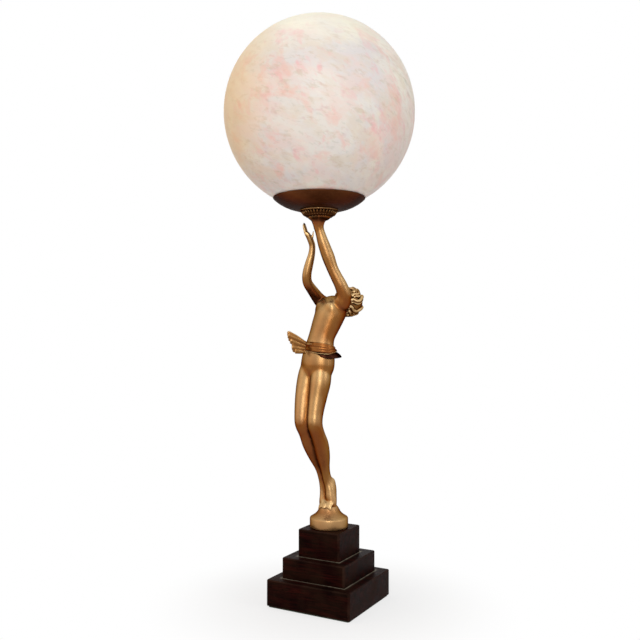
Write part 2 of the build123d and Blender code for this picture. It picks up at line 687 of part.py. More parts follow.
screw_shell = turned(
    [
        (7.5, INSULATOR_TOP),
        (SCREW_BORE + 0.5, INSULATOR_TOP),
        (SCREW_BORE + 0.5, HOLDER_TOP_Z - 2),
        (SCREW_BORE, HOLDER_TOP_Z - 2),
        (SCREW_BORE, INSULATOR_TOP + 0.5),
        (7.5, INSULATOR_TOP + 0.5),
    ]
)

TONGUE_WIDTH = 4.0
with BuildPart() as centre_contact:
    with BuildSketch(GLOBE_PLANE.offset(-TONGUE_WIDTH / 2)):
        with BuildLine():
            Polyline(
                (-6.0, INSULATOR_TOP),
                (-2.6, INSULATOR_TOP),
                (2.0, BULB_TIP_Z - 0.7),
                (3.6, BULB_TIP_Z - 1.2),
                (3.8, BULB_TIP_Z - 0.8),
                (2.0, BULB_TIP_Z - 0.2),
                (-3.0, INSULATOR_TOP + 0.5),
                (-6.0, INSULATOR_TOP + 0.5),
                close=True,
            )
        make_face()
    extrude(amount=TONGUE_WIDTH)

# ---- Screw bulb ---------------------------------------------------------------------------------

VITRITE_FOOT = BULB_TIP_Z + 1.0
CAP_FOOT = BULB_TIP_Z + 5.0
CAP_LIP = BULB_TIP_Z + 26.0
THREAD_RINGS = 5
THREAD_PITCH = 3.62

bulb_tip = turned([(0, BULB_TIP_Z), (2.4, BULB_TIP_Z), (3.2, VITRITE_FOOT), (0, VITRITE_FOOT)])
bulb_vitrite = turned([(0, VITRITE_FOOT), (4.5, VITRITE_FOOT), (11.0, CAP_FOOT), (0, CAP_FOOT)])

with BuildPart() as bulb_cap:
    with BuildSketch(GLOBE_PLANE):
        with BuildLine():
            cap_points = [(11.0, CAP_FOOT)]
            for i in range(THREAD_RINGS):
                crest = CAP_FOOT + 1.2 + i * THREAD_PITCH
                cap_points.append((12.3, crest - 0.4))
                cap_points.append((BULB_CAP_RADIUS, crest + 0.8))
                cap_points.append((BULB_CAP_RADIUS, crest + 1.4))
                cap_points.append((12.3, crest + 2.6))
            cap_points.append((BULB_CAP_RADIUS, CAP_LIP - 1))
            cap_points.append((BULB_CAP_RADIUS, CAP_LIP))
            cap_points.append((12.0, CAP_LIP))
            cap_points.append((12.0, CAP_FOOT + 3))
            cap_points.append((10.6, CAP_FOOT))
            Polyline(*cap_points, close=True)
        make_face()
    revolve(axis=GLOBE_AXIS)

GLASS_WALL = 0.8
NECK_RADIUS = 11.9
NECK_FOOT = CAP_FOOT + 6.0

with BuildPart() as bulb_glass:
    with BuildSketch(GLOBE_PLANE):
        for wall in (0, GLASS_WALL):
            ball = BULB_RADIUS - wall
            with BuildLine():
                crown = ThreePointArc(
                    (0, BULB_CENTRE_Z + ball),
                    (ball, BULB_CENTRE_Z),
                    (ball * cos(radians(32)), BULB_CENTRE_Z - ball * sin(radians(32))),
                )
                Polyline(crown @ 1, (NECK_RADIUS - wall, CAP_LIP + 8), (NECK_RADIUS - wall, NECK_FOOT + wall))
                Polyline((NECK_RADIUS - wall, NECK_FOOT + wall), (0, NECK_FOOT + wall), crown @ 0)
            make_face(mode=Mode.ADD if wall == 0 else Mode.SUBTRACT)
    revolve(axis=GLOBE_AXIS)

STEM_TOP = 500.0
FILAMENT_Z = 512.0
FILAMENT_HALF = 11.0
LEAD_GAP = 0.2

with BuildPart() as bulb_stem:
    stem_foot = NECK_FOOT + GLASS_WALL
    with BuildSketch(GLOBE_PLANE):
        with BuildLine():
            Polyline((0, STEM_TOP), (0, stem_foot), (6.0, stem_foot), (3.0, stem_foot + 8), (2.0, STEM_TOP), close=True)
        make_face()
    revolve(axis=GLOBE_AXIS)

with BuildPart() as bulb_filament:
    for side in (-1, 1):
        lead_foot = (GLOBE_X + side * 1.0, GLOBE_Y, STEM_TOP + LEAD_GAP)
        with BuildSketch(Plane(lead_foot, z_dir=(side * 10.0, 0, 12.0))):
            Circle(0.25)
        extrude(amount=15.6)
    with BuildSketch(Plane((GLOBE_X - FILAMENT_HALF, GLOBE_Y, FILAMENT_Z - 0.2), z_dir=(1, 0, 0))):
        Circle(0.4)
    extrude(amount=2 * FILAMENT_HALF)

# ---- Write every piece --------------------------------------------------------------------------

os.makedirs("parts", exist_ok=True)
PIECES = {
    "base_felt": base_felt.part,
    "base_step_lower": base_step_lower.part,
    "base_step_middle": base_step_middle.part,
    "base_step_upper": base_step_upper.part,
    "step_dowels": step_dowels.part,
    "cord_bushing": cord_bushing.part,
    "terminal_block": terminal_block.part,
    "terminal_screws": terminal_screws.part,
    "clamp_rod": clamp_rod,
    "clamp_washer": clamp_washer.part,
    "clamp_nut": clamp_nut,
    "figure_plinth": figure_plinth.part,
    "figure_body": figure_body.part,
    "figure_head": figure_head.part,
    "left_arm": left_arm.part,
    "right_arm": right_arm.part,
    "hip_sash": hip_sash.part,
    "sash_fan": sash_fan.part,
    "sash_hem": sash_hem.part,
    "inner_flex": inner_flex,
    "support_cup": support_cup.part,
    "cup_nipple": cup_nipple,
    "nipple_nut": nipple_nut,
    "gallery_dish": gallery_dish.part,
    "globe_cushion": globe_cushion.part,
    "globe_shade": globe_shade.part,
    "holder_cap": holder_cap,
    "holder_shell": holder_shell,
    "holder_insulator": holder_insulator,
    "screw_shell": screw_shell,
    "centre_contact": centre_contact.part,
    "bulb_tip": bulb_tip,
    "bulb_vitrite": bulb_vitrite,
    "bulb_cap": bulb_cap.part,
    "bulb_glass": bulb_glass.part,
    "bulb_stem": bulb_stem.part,
    "bulb_filament": bulb_filament.part,
}
for name, part in PIECES.items():
    save(part, name)
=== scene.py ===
from math import acos, atan2, cos, degrees, exp, hypot, pi, radians, sin, sqrt

import bmesh
import bpy
import numpy as np
from mathutils import Matrix, Vector


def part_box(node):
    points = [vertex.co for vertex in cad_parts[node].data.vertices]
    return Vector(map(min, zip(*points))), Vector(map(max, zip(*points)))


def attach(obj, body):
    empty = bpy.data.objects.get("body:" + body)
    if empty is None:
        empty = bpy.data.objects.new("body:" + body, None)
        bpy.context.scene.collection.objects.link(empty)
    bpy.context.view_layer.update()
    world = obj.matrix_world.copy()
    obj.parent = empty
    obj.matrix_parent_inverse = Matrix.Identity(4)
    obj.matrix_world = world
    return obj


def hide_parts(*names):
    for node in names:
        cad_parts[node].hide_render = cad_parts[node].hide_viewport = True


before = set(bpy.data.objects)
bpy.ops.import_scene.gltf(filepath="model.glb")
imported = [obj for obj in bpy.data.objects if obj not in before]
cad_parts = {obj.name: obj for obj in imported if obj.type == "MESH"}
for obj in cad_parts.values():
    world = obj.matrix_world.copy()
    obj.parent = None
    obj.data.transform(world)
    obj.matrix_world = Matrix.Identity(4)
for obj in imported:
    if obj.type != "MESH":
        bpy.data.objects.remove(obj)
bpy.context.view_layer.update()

# ---- Camera ----------------------------------------------------------
# It stands level with the dancer's thighs, 0.81 m from the lamp, and looks very slightly up.
# The sight line meets the base's front at 29 degrees, so two of its sides show.

SIGHT_TURN = radians(29.0)
CAMERA_SPOT = (-0.01021, -0.81014, 0.27034)
CAMERA_PITCH = 0.0288
CAMERA_ROLL = 0.0019
CAMERA_LENS, CAMERA_SENSOR = 43.18, 36


def placed(name, data):
    """A new object in the scene that shows this data."""
    thing = bpy.data.objects.new(name, data)
    bpy.context.collection.objects.link(thing)
    return thing


camera_data = bpy.data.cameras.new("view_camera")
camera_data.sensor_width = CAMERA_SENSOR
camera_data.lens = CAMERA_LENS
camera = placed("view_camera", camera_data)
sight_turn = Matrix.Rotation(SIGHT_TURN, 4, "Z")
camera.matrix_world = (
    sight_turn
    @ Matrix.Translation(CAMERA_SPOT)
    @ Matrix.Rotation(pi / 2 + CAMERA_PITCH, 4, "X")
    @ Matrix.Rotation(CAMERA_ROLL, 4, "Z")
)
bpy.context.scene.camera = camera

# ---- Studio ----------------------------------------------------------
# A plain pale floor under a white surround. A tall soft lamp stands over the camera. Weaker ones
# light the right side and, warmer, the left, and one overhead keeps the treads and the globe's
# crown clear.

bpy.context.scene.view_settings.view_transform = "Standard"


def soft_lamp(name, spot, aim, size, watts, tint=(1, 1, 1)):
    """A rectangular lamp at spot, both given as the camera sees them, that points at aim."""
    lamp_data = bpy.data.lights.new(name, "AREA")
    lamp_data.shape = "RECTANGLE"
    lamp_data.size, lamp_data.size_y = size
    lamp_data.energy = watts
    lamp_data.color = tint
    lamp = placed(name, lamp_data)
    lamp.matrix_world = sight_turn @ (
        Matrix.Translation(spot)
        @ (Vector(spot) - Vector(aim)).to_track_quat("Z", "Y").to_matrix().to_4x4()
    )


soft_lamp("front_lamp", (-0.05, -1.2, 0.8), (0, 0, 0.3), (0.5, 0.9), 8.5)
soft_lamp("right_lamp", (1.3, -0.6, 0.9), (0, 0, 0.35), (0.3, 0.8), 3.2)
soft_lamp("left_lamp", (-1.2, -0.35, 0.5), (0, 0, 0.35), (1.0, 1.4), 3, (1.0, 0.66, 0.40))
soft_lamp("top_lamp", (-0.2, 0.1, 1.8), (0, 0, 0.4), (1.0, 1.0), 4.7)

WORLD_LIGHT = 0.34
world = bpy.data.worlds.new("studio")
bpy.context.scene.world = world
world.use_nodes = True
sky = world.node_tree
sky_light = sky.nodes["Background"]
sky_light.inputs["Color"].default_value = (1, 1, 1, 1)


def reckoned(tree, kind, operation, *values):
    """The outcome of a Math or VectorMath node fed with these values."""
    node = tree.nodes.new("ShaderNode" + kind)
    node.operation = operation
    for socket, value in zip(node.inputs, values):
        feed(tree, socket, value)
    return node.outputs["Value" if operation in ("LENGTH", "DOT_PRODUCT") else 0]


def feed(tree, socket, value):
    """Gives a node's input a number or a tuple, or links it to another node's output."""
    if isinstance(value, bpy.types.NodeSocket):
        tree.links.new(value, socket)
    else:
        socket.default_value = value


def seen_directly(tree):
    """1 for rays from the camera, from gloss and through glass, 0 for light that spreads."""
    ray_kind = tree.nodes.new("ShaderNodeLightPath")
    either = ray_kind.outputs["Is Camera Ray"]
    for other in ("Is Glossy Ray", "Is Transmission Ray"):
        either = reckoned(tree, "Math", "MAXIMUM", either, ray_kind.outputs[other])
    return either


def spread(tree, value, low, high, to_low=0.0, to_high=1.0):
    """Stretches a value between low and high to a new range, and clamps it."""
    ranger = tree.nodes.new("ShaderNodeMapRange")
    for end, limit in (("From Min", low), ("From Max", high), ("To Min", to_low), ("To Max", to_high)):
        ranger.inputs[end].default_value = limit
    tree.links.new(value, ranger.inputs["Value"])
    return ranger.outputs["Result"]


def new_paint(name, metallic=0.0, roughness=0.5):
    """A fresh material with its node tree and its shader."""
    finish = bpy.data.materials.new(name)
    finish.use_nodes = True
    shader = finish.node_tree.nodes["Principled BSDF"]
    shader.inputs["Metallic"].default_value = metallic
    shader.inputs["Roughness"].default_value = roughness
    return finish, finish.node_tree, shader


def built(name, mesh):
    """Turns a bmesh into a new object."""
    data = bpy.data.meshes.new(name)
    mesh.to_mesh(data)
    mesh.free()
    return placed(name, data)


sky.links.new(spread(sky, seen_directly(sky), 0, 1, WORLD_LIGHT, 1.0), sky_light.inputs["Strength"])

FLOOR_HALF = 3.0
floor_mesh = bmesh.new()
bmesh.ops.create_grid(floor_mesh, x_segments=1, y_segments=1, size=FLOOR_HALF)
floor = built("floor", floor_mesh)

# The floor is pale where it carries the lamp's shadow, and passes into the white surround.
SHADOW_NEAR, SHADOW_FAR = 0.06, 0.20
FLOOR_COLOUR, FLOOR_WHITENESS = (0.92, 0.91, 0.90, 1), 0.68
floor_paint, paint, pale = new_paint("floor_paint", roughness=0.9)
pale.inputs["Base Color"].default_value = FLOOR_COLOUR
pale.inputs["Specular IOR Level"].default_value = 0.1
floor_place = paint.nodes.new("ShaderNodeTexCoord")
from_middle = reckoned(paint, "VectorMath", "LENGTH", floor_place.outputs["Object"])
fading = spread(paint, from_middle, SHADOW_NEAR, SHADOW_FAR, FLOOR_WHITENESS, 1.0)
fading.node.interpolation_type = "SMOOTHSTEP"
white = paint.nodes.new("ShaderNodeEmission")
passing = paint.nodes.new("ShaderNodeMixShader")
feed(paint, passing.inputs["Fac"], reckoned(paint, "Math", "MULTIPLY", fading, seen_directly(paint)))
feed(paint, passing.inputs[1], pale.outputs["BSDF"])
feed(paint, passing.inputs[2], white.outputs["Emission"])
feed(paint, paint.nodes["Material Output"].inputs["Surface"], passing.outputs["Shader"])
floor.data.materials.append(floor_paint)

# ---- Wooden base -----------------------------------------------------
# Three square blocks of dark stained hardwood, glued and dowelled one on the other. Their edges
# are eased and rubbed lighter by handling, and the treads have gathered a little dust.


def object_place(tree, centre=(0, 0, 0), stretch=(1, 1, 1)):
    """Object coordinates, moved to a centre and stretched."""
    where = tree.nodes.new("ShaderNodeTexCoord")
    moved = tree.nodes.new("ShaderNodeMapping")
    moved.vector_type = "TEXTURE"
    moved.inputs["Location"].default_value = centre
    moved.inputs["Scale"].default_value = stretch
    tree.links.new(where.outputs["Object"], moved.inputs["Vector"])
    return moved.outputs["Vector"]


def cloud(tree, place, size, detail, rough=0.55, swirl=0.0):
    """Noise whose blotches are about size metres across."""
    noise_node = tree.nodes.new("ShaderNodeTexNoise")
    noise_node.inputs["Scale"].default_value = 1.0 / size
    noise_node.inputs["Detail"].default_value = detail
    noise_node.inputs["Roughness"].default_value = rough
    noise_node.inputs["Distortion"].default_value = swirl
    tree.links.new(place, noise_node.inputs["Vector"])
    return noise_node.outputs["Fac"]


def mixed(tree, amount, under, over):
    """Lays one colour over another by an amount; colours are tuples or sockets."""
    mixer = tree.nodes.new("ShaderNodeMix")
    mixer.data_type = "RGBA"
    for number, value in ((0, amount), (6, under), (7, over)):
        feed(tree, mixer.inputs[number], (*value, 1) if isinstance(value, tuple) else value)
    return mixer.outputs[2]


def bump(tree, shader, height, depth, strength):
    """Raises the shader's surface by a height, scaled to depth metres."""
    bumper = tree.nodes.new("ShaderNodeBump")
    bumper.inputs["Strength"].default_value = strength
    bumper.inputs["Distance"].default_value = depth
    tree.links.new(height, bumper.inputs["Height"])
    tree.links.new(bumper.outputs["Normal"], shader.inputs["Normal"])


DUST_REACH, DUST_COLOUR = 0.0024, (0.24, 0.21, 0.155)


def dust_lines(tree):
    """1 along the foot of each upper step, where dust lies on the tread, broken up by noise."""
    where = tree.nodes.new("ShaderNodeTexCoord")
    split = tree.nodes.new("ShaderNodeSeparateXYZ")
    tree.links.new(where.outputs["Object"], split.inputs[0])
    sizes = [reckoned(tree, "Math", "ABSOLUTE", split.outputs[axis]) for axis in range(2)]
    reach = reckoned(tree, "Math", "MAXIMUM", *sizes)
    lines = (0, 0, 0)
    for node in ("base_step_middle", "base_step_upper"):
        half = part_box(node)[1].x
        near = spread(tree, reach, half + DUST_REACH, half + 0.3 * DUST_REACH)
        beyond = spread(tree, reach, half + 0.00002, half + 0.00012)
        lines = mixed(tree, mixed(tree, near, (0, 0, 0), beyond), lines, (1, 1, 1))
    broken = spread(tree, cloud(tree, where.outputs["Object"], 0.005, 4.0), 0.36, 0.58, 0.35, 0.95)
    return mixed(tree, broken, (0, 0, 0), lines)


def stained_wood(name, dark, red, light, rubbed):
    """Stained hardwood: long pores along X, a redder cast in patches, dust and rubbed spots."""
    finish, tree, shader = new_paint(name, roughness=0.5)
    shader.inputs["Specular IOR Level"].default_value = 0.02
    shader.inputs["Specular Tint"].default_value = (1.0, 0.60, 0.50, 1)
    grain_place = object_place(tree, stretch=(14.0, 1.0, 1.0))
    pores = spread(tree, cloud(tree, grain_place, 0.0011, 4.0), 0.42, 0.62)
    bands = spread(tree, cloud(tree, grain_place, 0.006, 2.0, swirl=0.6), 0.35, 0.7)
    patches = spread(tree, cloud(tree, object_place(tree), 0.022, 5.0), 0.4, 0.7)
    scuffs = spread(tree, cloud(tree, object_place(tree), 0.0030, 6.0, rough=0.7), 0.62, 0.76)
    colour = mixed(tree, bands, dark, red)
    colour = mixed(tree, pores, colour, dark)
    colour = mixed(tree, spread(tree, patches, 0, 1, 0.0, 0.5), colour, light)
    colour = mixed(tree, spread(tree, scuffs, 0, 1, 0.0, rubbed), colour, light)
    colour = mixed(tree, dust_lines(tree), colour, DUST_COLOUR)
    tree.links.new(colour, shader.inputs["Base Color"])
    tree.links.new(spread(tree, patches, 0, 1, 0.38, 0.55), shader.inputs["Roughness"])
    bump(tree, shader, pores, 0.00012, 0.6)
    return finish


wood_paint = stained_wood(
    "dark_stained_wood", (0.0030, 0.0010, 0.0009), (0.028, 0.0034, 0.0026), (0.024, 0.011, 0.006), 0.5
)
rubbed_wood_paint = stained_wood(
    "rubbed_edge_wood", (0.008, 0.003, 0.002), (0.030, 0.007, 0.005), (0.050, 0.026, 0.017), 0.6
)

MM = 0.001


def piece(name, mesh, paints, body="lamp", smooth=True):
    """Turns a bmesh into an object that rides on a body and wears the paints in slot order."""
    thing = built(name, mesh)
    for paint_material in paints:
        thing.data.materials.append(paint_material)
    if smooth:
        thing.data.polygons.foreach_set("use_smooth", [True] * len(thing.data.polygons))
    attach(thing, body)
    return thing


ARRIS_EASE = 0.35 * MM
ARRIS_SIDES, ARRIS_ANGLE = 3, radians(30)
SHELL_DEPTH = 2.5 * MM


def wooden_step(node):
    """The step with its cavity and bores; its outer arrises are rounded, and rubbed lighter."""
    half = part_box(node)[1].x
    block = bmesh.new()
    block.from_mesh(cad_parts[node].data)
    bmesh.ops.remove_doubles(block, verts=block.verts, dist=0.001 * MM)
    bmesh.ops.dissolve_limit(block, angle_limit=radians(1), verts=block.verts, edges=block.edges)

    def outside(point):
        return max(abs(point.x), abs(point.y)) > half - SHELL_DEPTH

    arrises = [
        edge
        for edge in block.edges
        if edge.is_manifold
        and edge.calc_face_angle() > ARRIS_ANGLE
        and all(outside(vert.co) for vert in edge.verts)
    ]
    bmesh.ops.bevel(
        block, geom=arrises, offset=ARRIS_EASE, offset_type="OFFSET", segments=ARRIS_SIDES,
        profile=0.5, affect="EDGES", material=-1,
    )
    for face in block.faces:
        squareness = max(abs(part) for part in face.normal)
        face.material_index = int(squareness < 0.999 and outside(face.calc_center_median()))
    thing = piece(node + "_wood", block, [wood_paint, rubbed_wood_paint], smooth=False)
    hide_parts(node)


for step_node in ("base_step_lower", "base_step_middle", "base_step_upper"):
    wooden_step(step_node)

# ---- Cast plinth -----------------------------------------------------
# A turned bronze disc with a rounded, rubbed rim, which sweeps up in a hollow curve to the mound
# the dancer stands on. It is cast in one with her feet and clamped to the wood by a hollow rod.

PLINTH_CENTRE = (-0.4, -0.2)
PLINTH_PROFILE = [
    (19.3, 77.0), (19.9, 77.2), (20.1, 77.8), (20.1, 86.1), (19.9, 87.0), (19.3, 87.7), (18.4, 88.3),
    (16.8, 89.2), (15.1, 90.4), (13.4, 91.9), (12.1, 93.5), (11.0, 95.4), (10.1, 97.0), (9.2, 98.4),
    (8.0, 99.6), (6.0, 100.6), (0.0, 101.0),
]


def turned(profile, centre, sides=96):
    """A closed piece turned about an upright axis from (radius, height) points, foot to top."""
    lathe = bmesh.new()
    outline = [lathe.verts.new((radius * MM, 0, z * MM)) for radius, z in profile]
    edges = [lathe.edges.new(pair) for pair in zip(outline, outline[1:])]
    bmesh.ops.spin(
        lathe, geom=outline + edges, cent=(0, 0, 0), axis=(0, 0, 1), angle=2 * pi, steps=sides,
        use_merge=True,
    )
    bmesh.ops.remove_doubles(lathe, verts=lathe.verts, dist=0.0001 * MM)
    holes = [edge for edge in lathe.edges if edge.is_boundary]
    if holes:
        bmesh.ops.holes_fill(lathe, edges=holes)
    bmesh.ops.recalc_face_normals(lathe, faces=lathe.faces)
    bmesh.ops.translate(lathe, verts=lathe.verts, vec=(centre[0] * MM, centre[1] * MM, 0))
    return lathe


BRONZE_ROUGH, CAST_GRAIN = (0.38, 0.48), 0.00002


def bronze(name, deep, mid, high, umber_and_shade, hollow_and_shade):
    """Patinated bronze: golden where it is rubbed and, as painted light, where it faces up; umber and darkest
    in the hollows, and as painted shade where it faces down.
    """
    finish, tree, shader = new_paint(name, metallic=1.0)
    shader.inputs["Specular Tint"].default_value = (0.10, 0.05, 0.03, 1)
    wear_and_shade = tree.nodes.new("ShaderNodeAttribute")
    wear_and_shade.attribute_name = "wear_and_shade"
    drift = spread(tree, cloud(tree, object_place(tree, stretch=(1, 1, 2.2)), 0.030, 2.0), 0.36, 0.64)
    spots = spread(tree, cloud(tree, object_place(tree), 0.006, 3.0, rough=0.5), 0.42, 0.70)
    fine = cloud(tree, object_place(tree), 0.0020, 2.0)
    colour = mixed(tree, drift, deep, mid)
    colour = mixed(tree, spread(tree, spots, 0, 1, 0.0, 0.2), colour, deep)
    # Painted light and shade come in through the same attribute as the wear: tops take the golden colour,
    # undersides and shaded spots the umber and the darkest colour.
    colour = mixed(tree, spread(tree, wear_and_shade.outputs["Fac"], 0.55, 0.95, 0.0, 0.85), colour, high)
    colour = mixed(tree, spread(tree, wear_and_shade.outputs["Fac"], 0.48, 0.28, 0.0, 0.9), colour, umber_and_shade)
    colour = mixed(tree, spread(tree, wear_and_shade.outputs["Fac"], 0.26, 0.04, 0.0, 0.95), colour, hollow_and_shade)
    tree.links.new(colour, shader.inputs["Base Color"])
    tree.links.new(spread(tree, spots, 0, 1, *BRONZE_ROUGH), shader.inputs["Roughness"])
    bump(tree, shader, fine, CAST_GRAIN, 0.4)
    return finish


def note_hollows(thing, passes=14, contrast=6.0, above=0.7, painted_shade_spots=()):
    """Marks each point in a wear and shade attribute: 0 in a hollow, 1 on a ridge, as the patina wears; also
    painted shade, lower where it faces down and in the shade spots, and painted light, higher where it faces
    up.
    """
    data = thing.data
    count = len(data.vertices)

    def read(items, what, width, kind=float):
        values = np.empty(width * len(items), dtype=kind)
        items.foreach_get(what, values)
        return values

    place = read(data.vertices, "co", 3).reshape(-1, 3)
    facing = read(data.vertices, "normal", 3).reshape(-1, 3)
    ends = read(data.edges, "vertices", 2, np.int32)
    one, other = ends[::2], ends[1::2]
    near = np.bincount(ends, minlength=count).clip(1)

    def gathered(values):
        return np.bincount(one, values[other], count) + np.bincount(other, values[one], count)

    middle = np.stack([gathered(place[:, axis]) for axis in range(3)], axis=1) / near[:, None]
    span = np.linalg.norm(place[one] - place[other], axis=1).mean()
    raised = ((place - middle) * facing).sum(axis=1) / span
    for _ in range(passes):
        raised = (raised + gathered(raised)) / (1 + near)
    wear_and_shade = data.attributes.new("wear_and_shade", "FLOAT", "POINT")
    # Painted light and shade: above lightens points that face up and darkens those that face down.
    rubbed = 0.5 + contrast * raised + above * facing[:, 2]
    # Painted shade: each spot darkens the patina where shade falls on the figure.
    for centre, reach, depth in painted_shade_spots:
        away = np.linalg.norm(place - np.array(sight_turn @ (Vector(centre) * MM)), axis=1) / (reach * MM)
        rubbed -= depth * np.exp(-(away**2))
    wear_and_shade.data.foreach_set("value", np.clip(rubbed, 0, 1).astype(np.float32))


skin_bronze = bronze(
    "golden_brown_bronze", (0.20, 0.060, 0.012), (0.245, 0.118, 0.034), (0.58, 0.39, 0.185),
    (0.19, 0.054, 0.017), (0.034, 0.010, 0.004),
)
cloth_bronze = bronze(
    "brown_cloth_bronze", (0.17, 0.060, 0.015), (0.26, 0.122, 0.034), (0.50, 0.32, 0.14),
    (0.110, 0.034, 0.011), (0.030, 0.009, 0.004),
)
chased_bronze = bronze(
    "dark_gilt_bronze", (0.12, 0.042, 0.011), (0.22, 0.10, 0.03), (0.78, 0.55, 0.28),
    (0.055, 0.017, 0.006), (0.016, 0.005, 0.002),
)
# Painted shade: a near-black bronze for the hem, standing for the shade under the flared lip.
hem_shade_bronze = bronze(
    "hem_painted_shade_bronze", (0.026, 0.008, 0.004), (0.040, 0.012, 0.006), (0.10, 0.04, 0.018),
    (0.020, 0.006, 0.003), (0.010, 0.003, 0.002),
)
plinth = piece("plinth", turned(PLINTH_PROFILE, PLINTH_CENTRE), [skin_bronze])
note_hollows(plinth, passes=2, contrast=1.5, above=0.35)
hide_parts("figure_plinth")

# ---- The dancer ------------------------------------------------------
# Cast bronze: the trunk, legs, arms and hands read as one casting, chased smooth and patinated
# golden brown. She stands on tiptoe, bent back, one arm up under the light, the other hand open.

# Sections are x (right), y (away) and z in millimetres as the camera sees her, half width, half
# depth and, where it changes along the limb, the way the body faces there: degrees from the sight
# line towards the left.
HIPS_FACE, CHEST_FACE = 37, 50
TRUNK = [
    (-15.5, -4.0, 227.0, 6.0, 5.0, 37), (-14.4, -2.5, 234.0, 14.0, 11.0, 37),
    (-13.0, -1.2, 242.0, 18.6, 14.6, 37), (-12.2, 0.0, 251.0, 19.0, 15.2, 37),
    (-11.0, 1.0, 262.0, 17.3, 13.9, 39), (-8.7, 2.0, 275.0, 15.1, 12.3, 42),
    (-4.1, 4.0, 288.0, 16.5, 13.8, 46), (0.7, 6.0, 300.0, 17.7, 14.9, 50),
    (4.6, 8.8, 310.0, 16.4, 12.6, 50), (9.2, 12.4, 316.0, 6.6, 5.6, 50),
]
LEFT_LEG = [
    (-10.5, -1.0, 252.0, 4.5, 5.0), (-8.8, -5.0, 243.0, 9.4, 10.4), (-9.6, -9.5, 230.0, 11.0, 11.4),
    (-12.4, -13.0, 213.0, 9.6, 10.1), (-14.8, -17.0, 197.0, 8.3, 8.7), (-15.3, -19.0, 186.0, 7.9, 8.3),
    (-12.6, -16.0, 176.0, 7.6, 7.7), (-8.8, -10.5, 164.0, 7.8, 8.4), (-6.4, -6.0, 151.0, 7.0, 7.4),
    (-4.4, -2.5, 138.0, 4.8, 5.3), (-2.2, 0.0, 127.0, 4.3, 5.5), (1.2, 1.2, 119.0, 5.3, 7.3),
    (1.8, -0.6, 110.0, 5.6, 6.5), (1.8, -1.8, 103.0, 6.1, 5.6), (1.0, -1.6, 98.0, 6.6, 6.0),
    (0.4, -0.8, 93.0, 7.2, 7.2),
]
RIGHT_LEG = [
    (-18.0, 4.0, 252.0, 4.5, 5.0), (-20.5, 3.5, 243.0, 9.8, 11.0), (-22.8, 1.0, 230.0, 11.3, 12.1),
    (-25.9, -4.5, 213.0, 10.1, 10.9), (-27.9, -10.0, 197.0, 8.7, 9.2), (-28.3, -12.5, 186.0, 7.9, 8.0),
    (-24.9, -10.0, 176.0, 7.2, 7.2), (-20.9, -5.5, 164.0, 7.2, 7.8), (-15.7, -0.5, 151.0, 6.4, 6.8),
    (-10.6, 3.4, 138.0, 4.5, 5.0), (-7.6, 5.9, 127.0, 3.9, 5.0), (-5.7, 6.4, 119.0, 4.2, 5.9),
    (-5.6, 4.4, 110.0, 4.4, 4.9), (-6.0, 2.4, 103.0, 4.9, 4.4), (-5.2, 1.6, 98.0, 5.2, 5.2),
    (-4.2, 0.8, 93.0, 6.6, 6.6),
]
LEFT_ARM = [
    (13.0, -1.0, 308.0, 7.4, 8.0), (15.4, -5.0, 318.0, 7.3, 7.9), (11.9, -7.5, 329.0, 6.7, 7.1),
    (6.8, -8.0, 339.0, 6.2, 6.5), (2.5, -8.0, 348.0, 6.1, 6.3), (-1.8, -8.0, 360.0, 6.7, 7.0),
    (-6.2, -8.0, 372.0, 6.1, 6.3), (-10.2, -8.0, 385.0, 5.0, 5.1), (-11.7, -8.0, 390.6, 5.3, 5.3),
    (-12.0, -8.0, 394.0, 6.1, 6.1), (-12.1, -8.0, 397.0, 7.3, 7.3), (-12.0, -8.0, 399.2, 9.2, 9.2),
    (-11.8, -8.0, 401.0, 11.6, 11.6), (-11.6, -8.0, 403.0, 13.2, 13.2),
]
RIGHT_ARM = [
    (-3.0, 16.5, 307.0, 7.0, 7.5, 50), (-8.9, 18.0, 313.6, 7.0, 7.4, 50),
    (-14.2, 14.0, 320.2, 6.3, 6.7, 50), (-19.4, 7.5, 327.0, 5.6, 5.9, 50),
    (-23.6, 1.0, 333.4, 5.2, 5.4, 50), (-24.2, -1.5, 341.5, 5.0, 5.2, 50),
    (-22.0, -2.0, 352.0, 4.6, 4.9, 50), (-19.2, -2.0, 363.0, 3.8, 4.1, 50),
    (-18.5, -2.0, 371.5, 3.1, 3.6, 50), (-20.4, -2.4, 378.0, 3.1, 4.2, 20),
    (-23.2, -3.0, 383.4, 2.8, 4.3, 0), (-24.3, -3.1, 386.0, 2.1, 3.8, 0),
]
NECK = [
    (1.0, 7.5, 308.0, 7.0, 7.0), (8.5, 13.5, 314.0, 5.4, 5.6), (13.0, 18.0, 316.5, 5.4, 5.6),
]


def at(x, y, z):
    """A point of the figure's layout, on the lamp."""
    return sight_turn @ (Vector((x, y, z)) * MM)


def leftward(facing):
    """Her left, where her body faces that way."""
    return at(cos(radians(facing)), -sin(radians(facing)), 0).normalized()


def flowing(rows, steps):
    """Fills in rows of numbers between the given ones, on a smooth curve through them."""
    fine = []
    last = len(rows) - 1
    for i in range(last):
        before, here, there, after = rows[max(i - 1, 0)], rows[i], rows[i + 1], rows[min(i + 2, last)]
        for k in range(steps):
            t = k / steps
            fine.append(
                [
                    b + 0.5 * t * (c - a + t * (2 * a - 5 * b + 4 * c - d + t * (3 * (b - c) + d - a)))
                    for a, b, c, d in zip(before, here, there, after)
                ]
            )
    fine.append(list(rows[last]))
    return fine


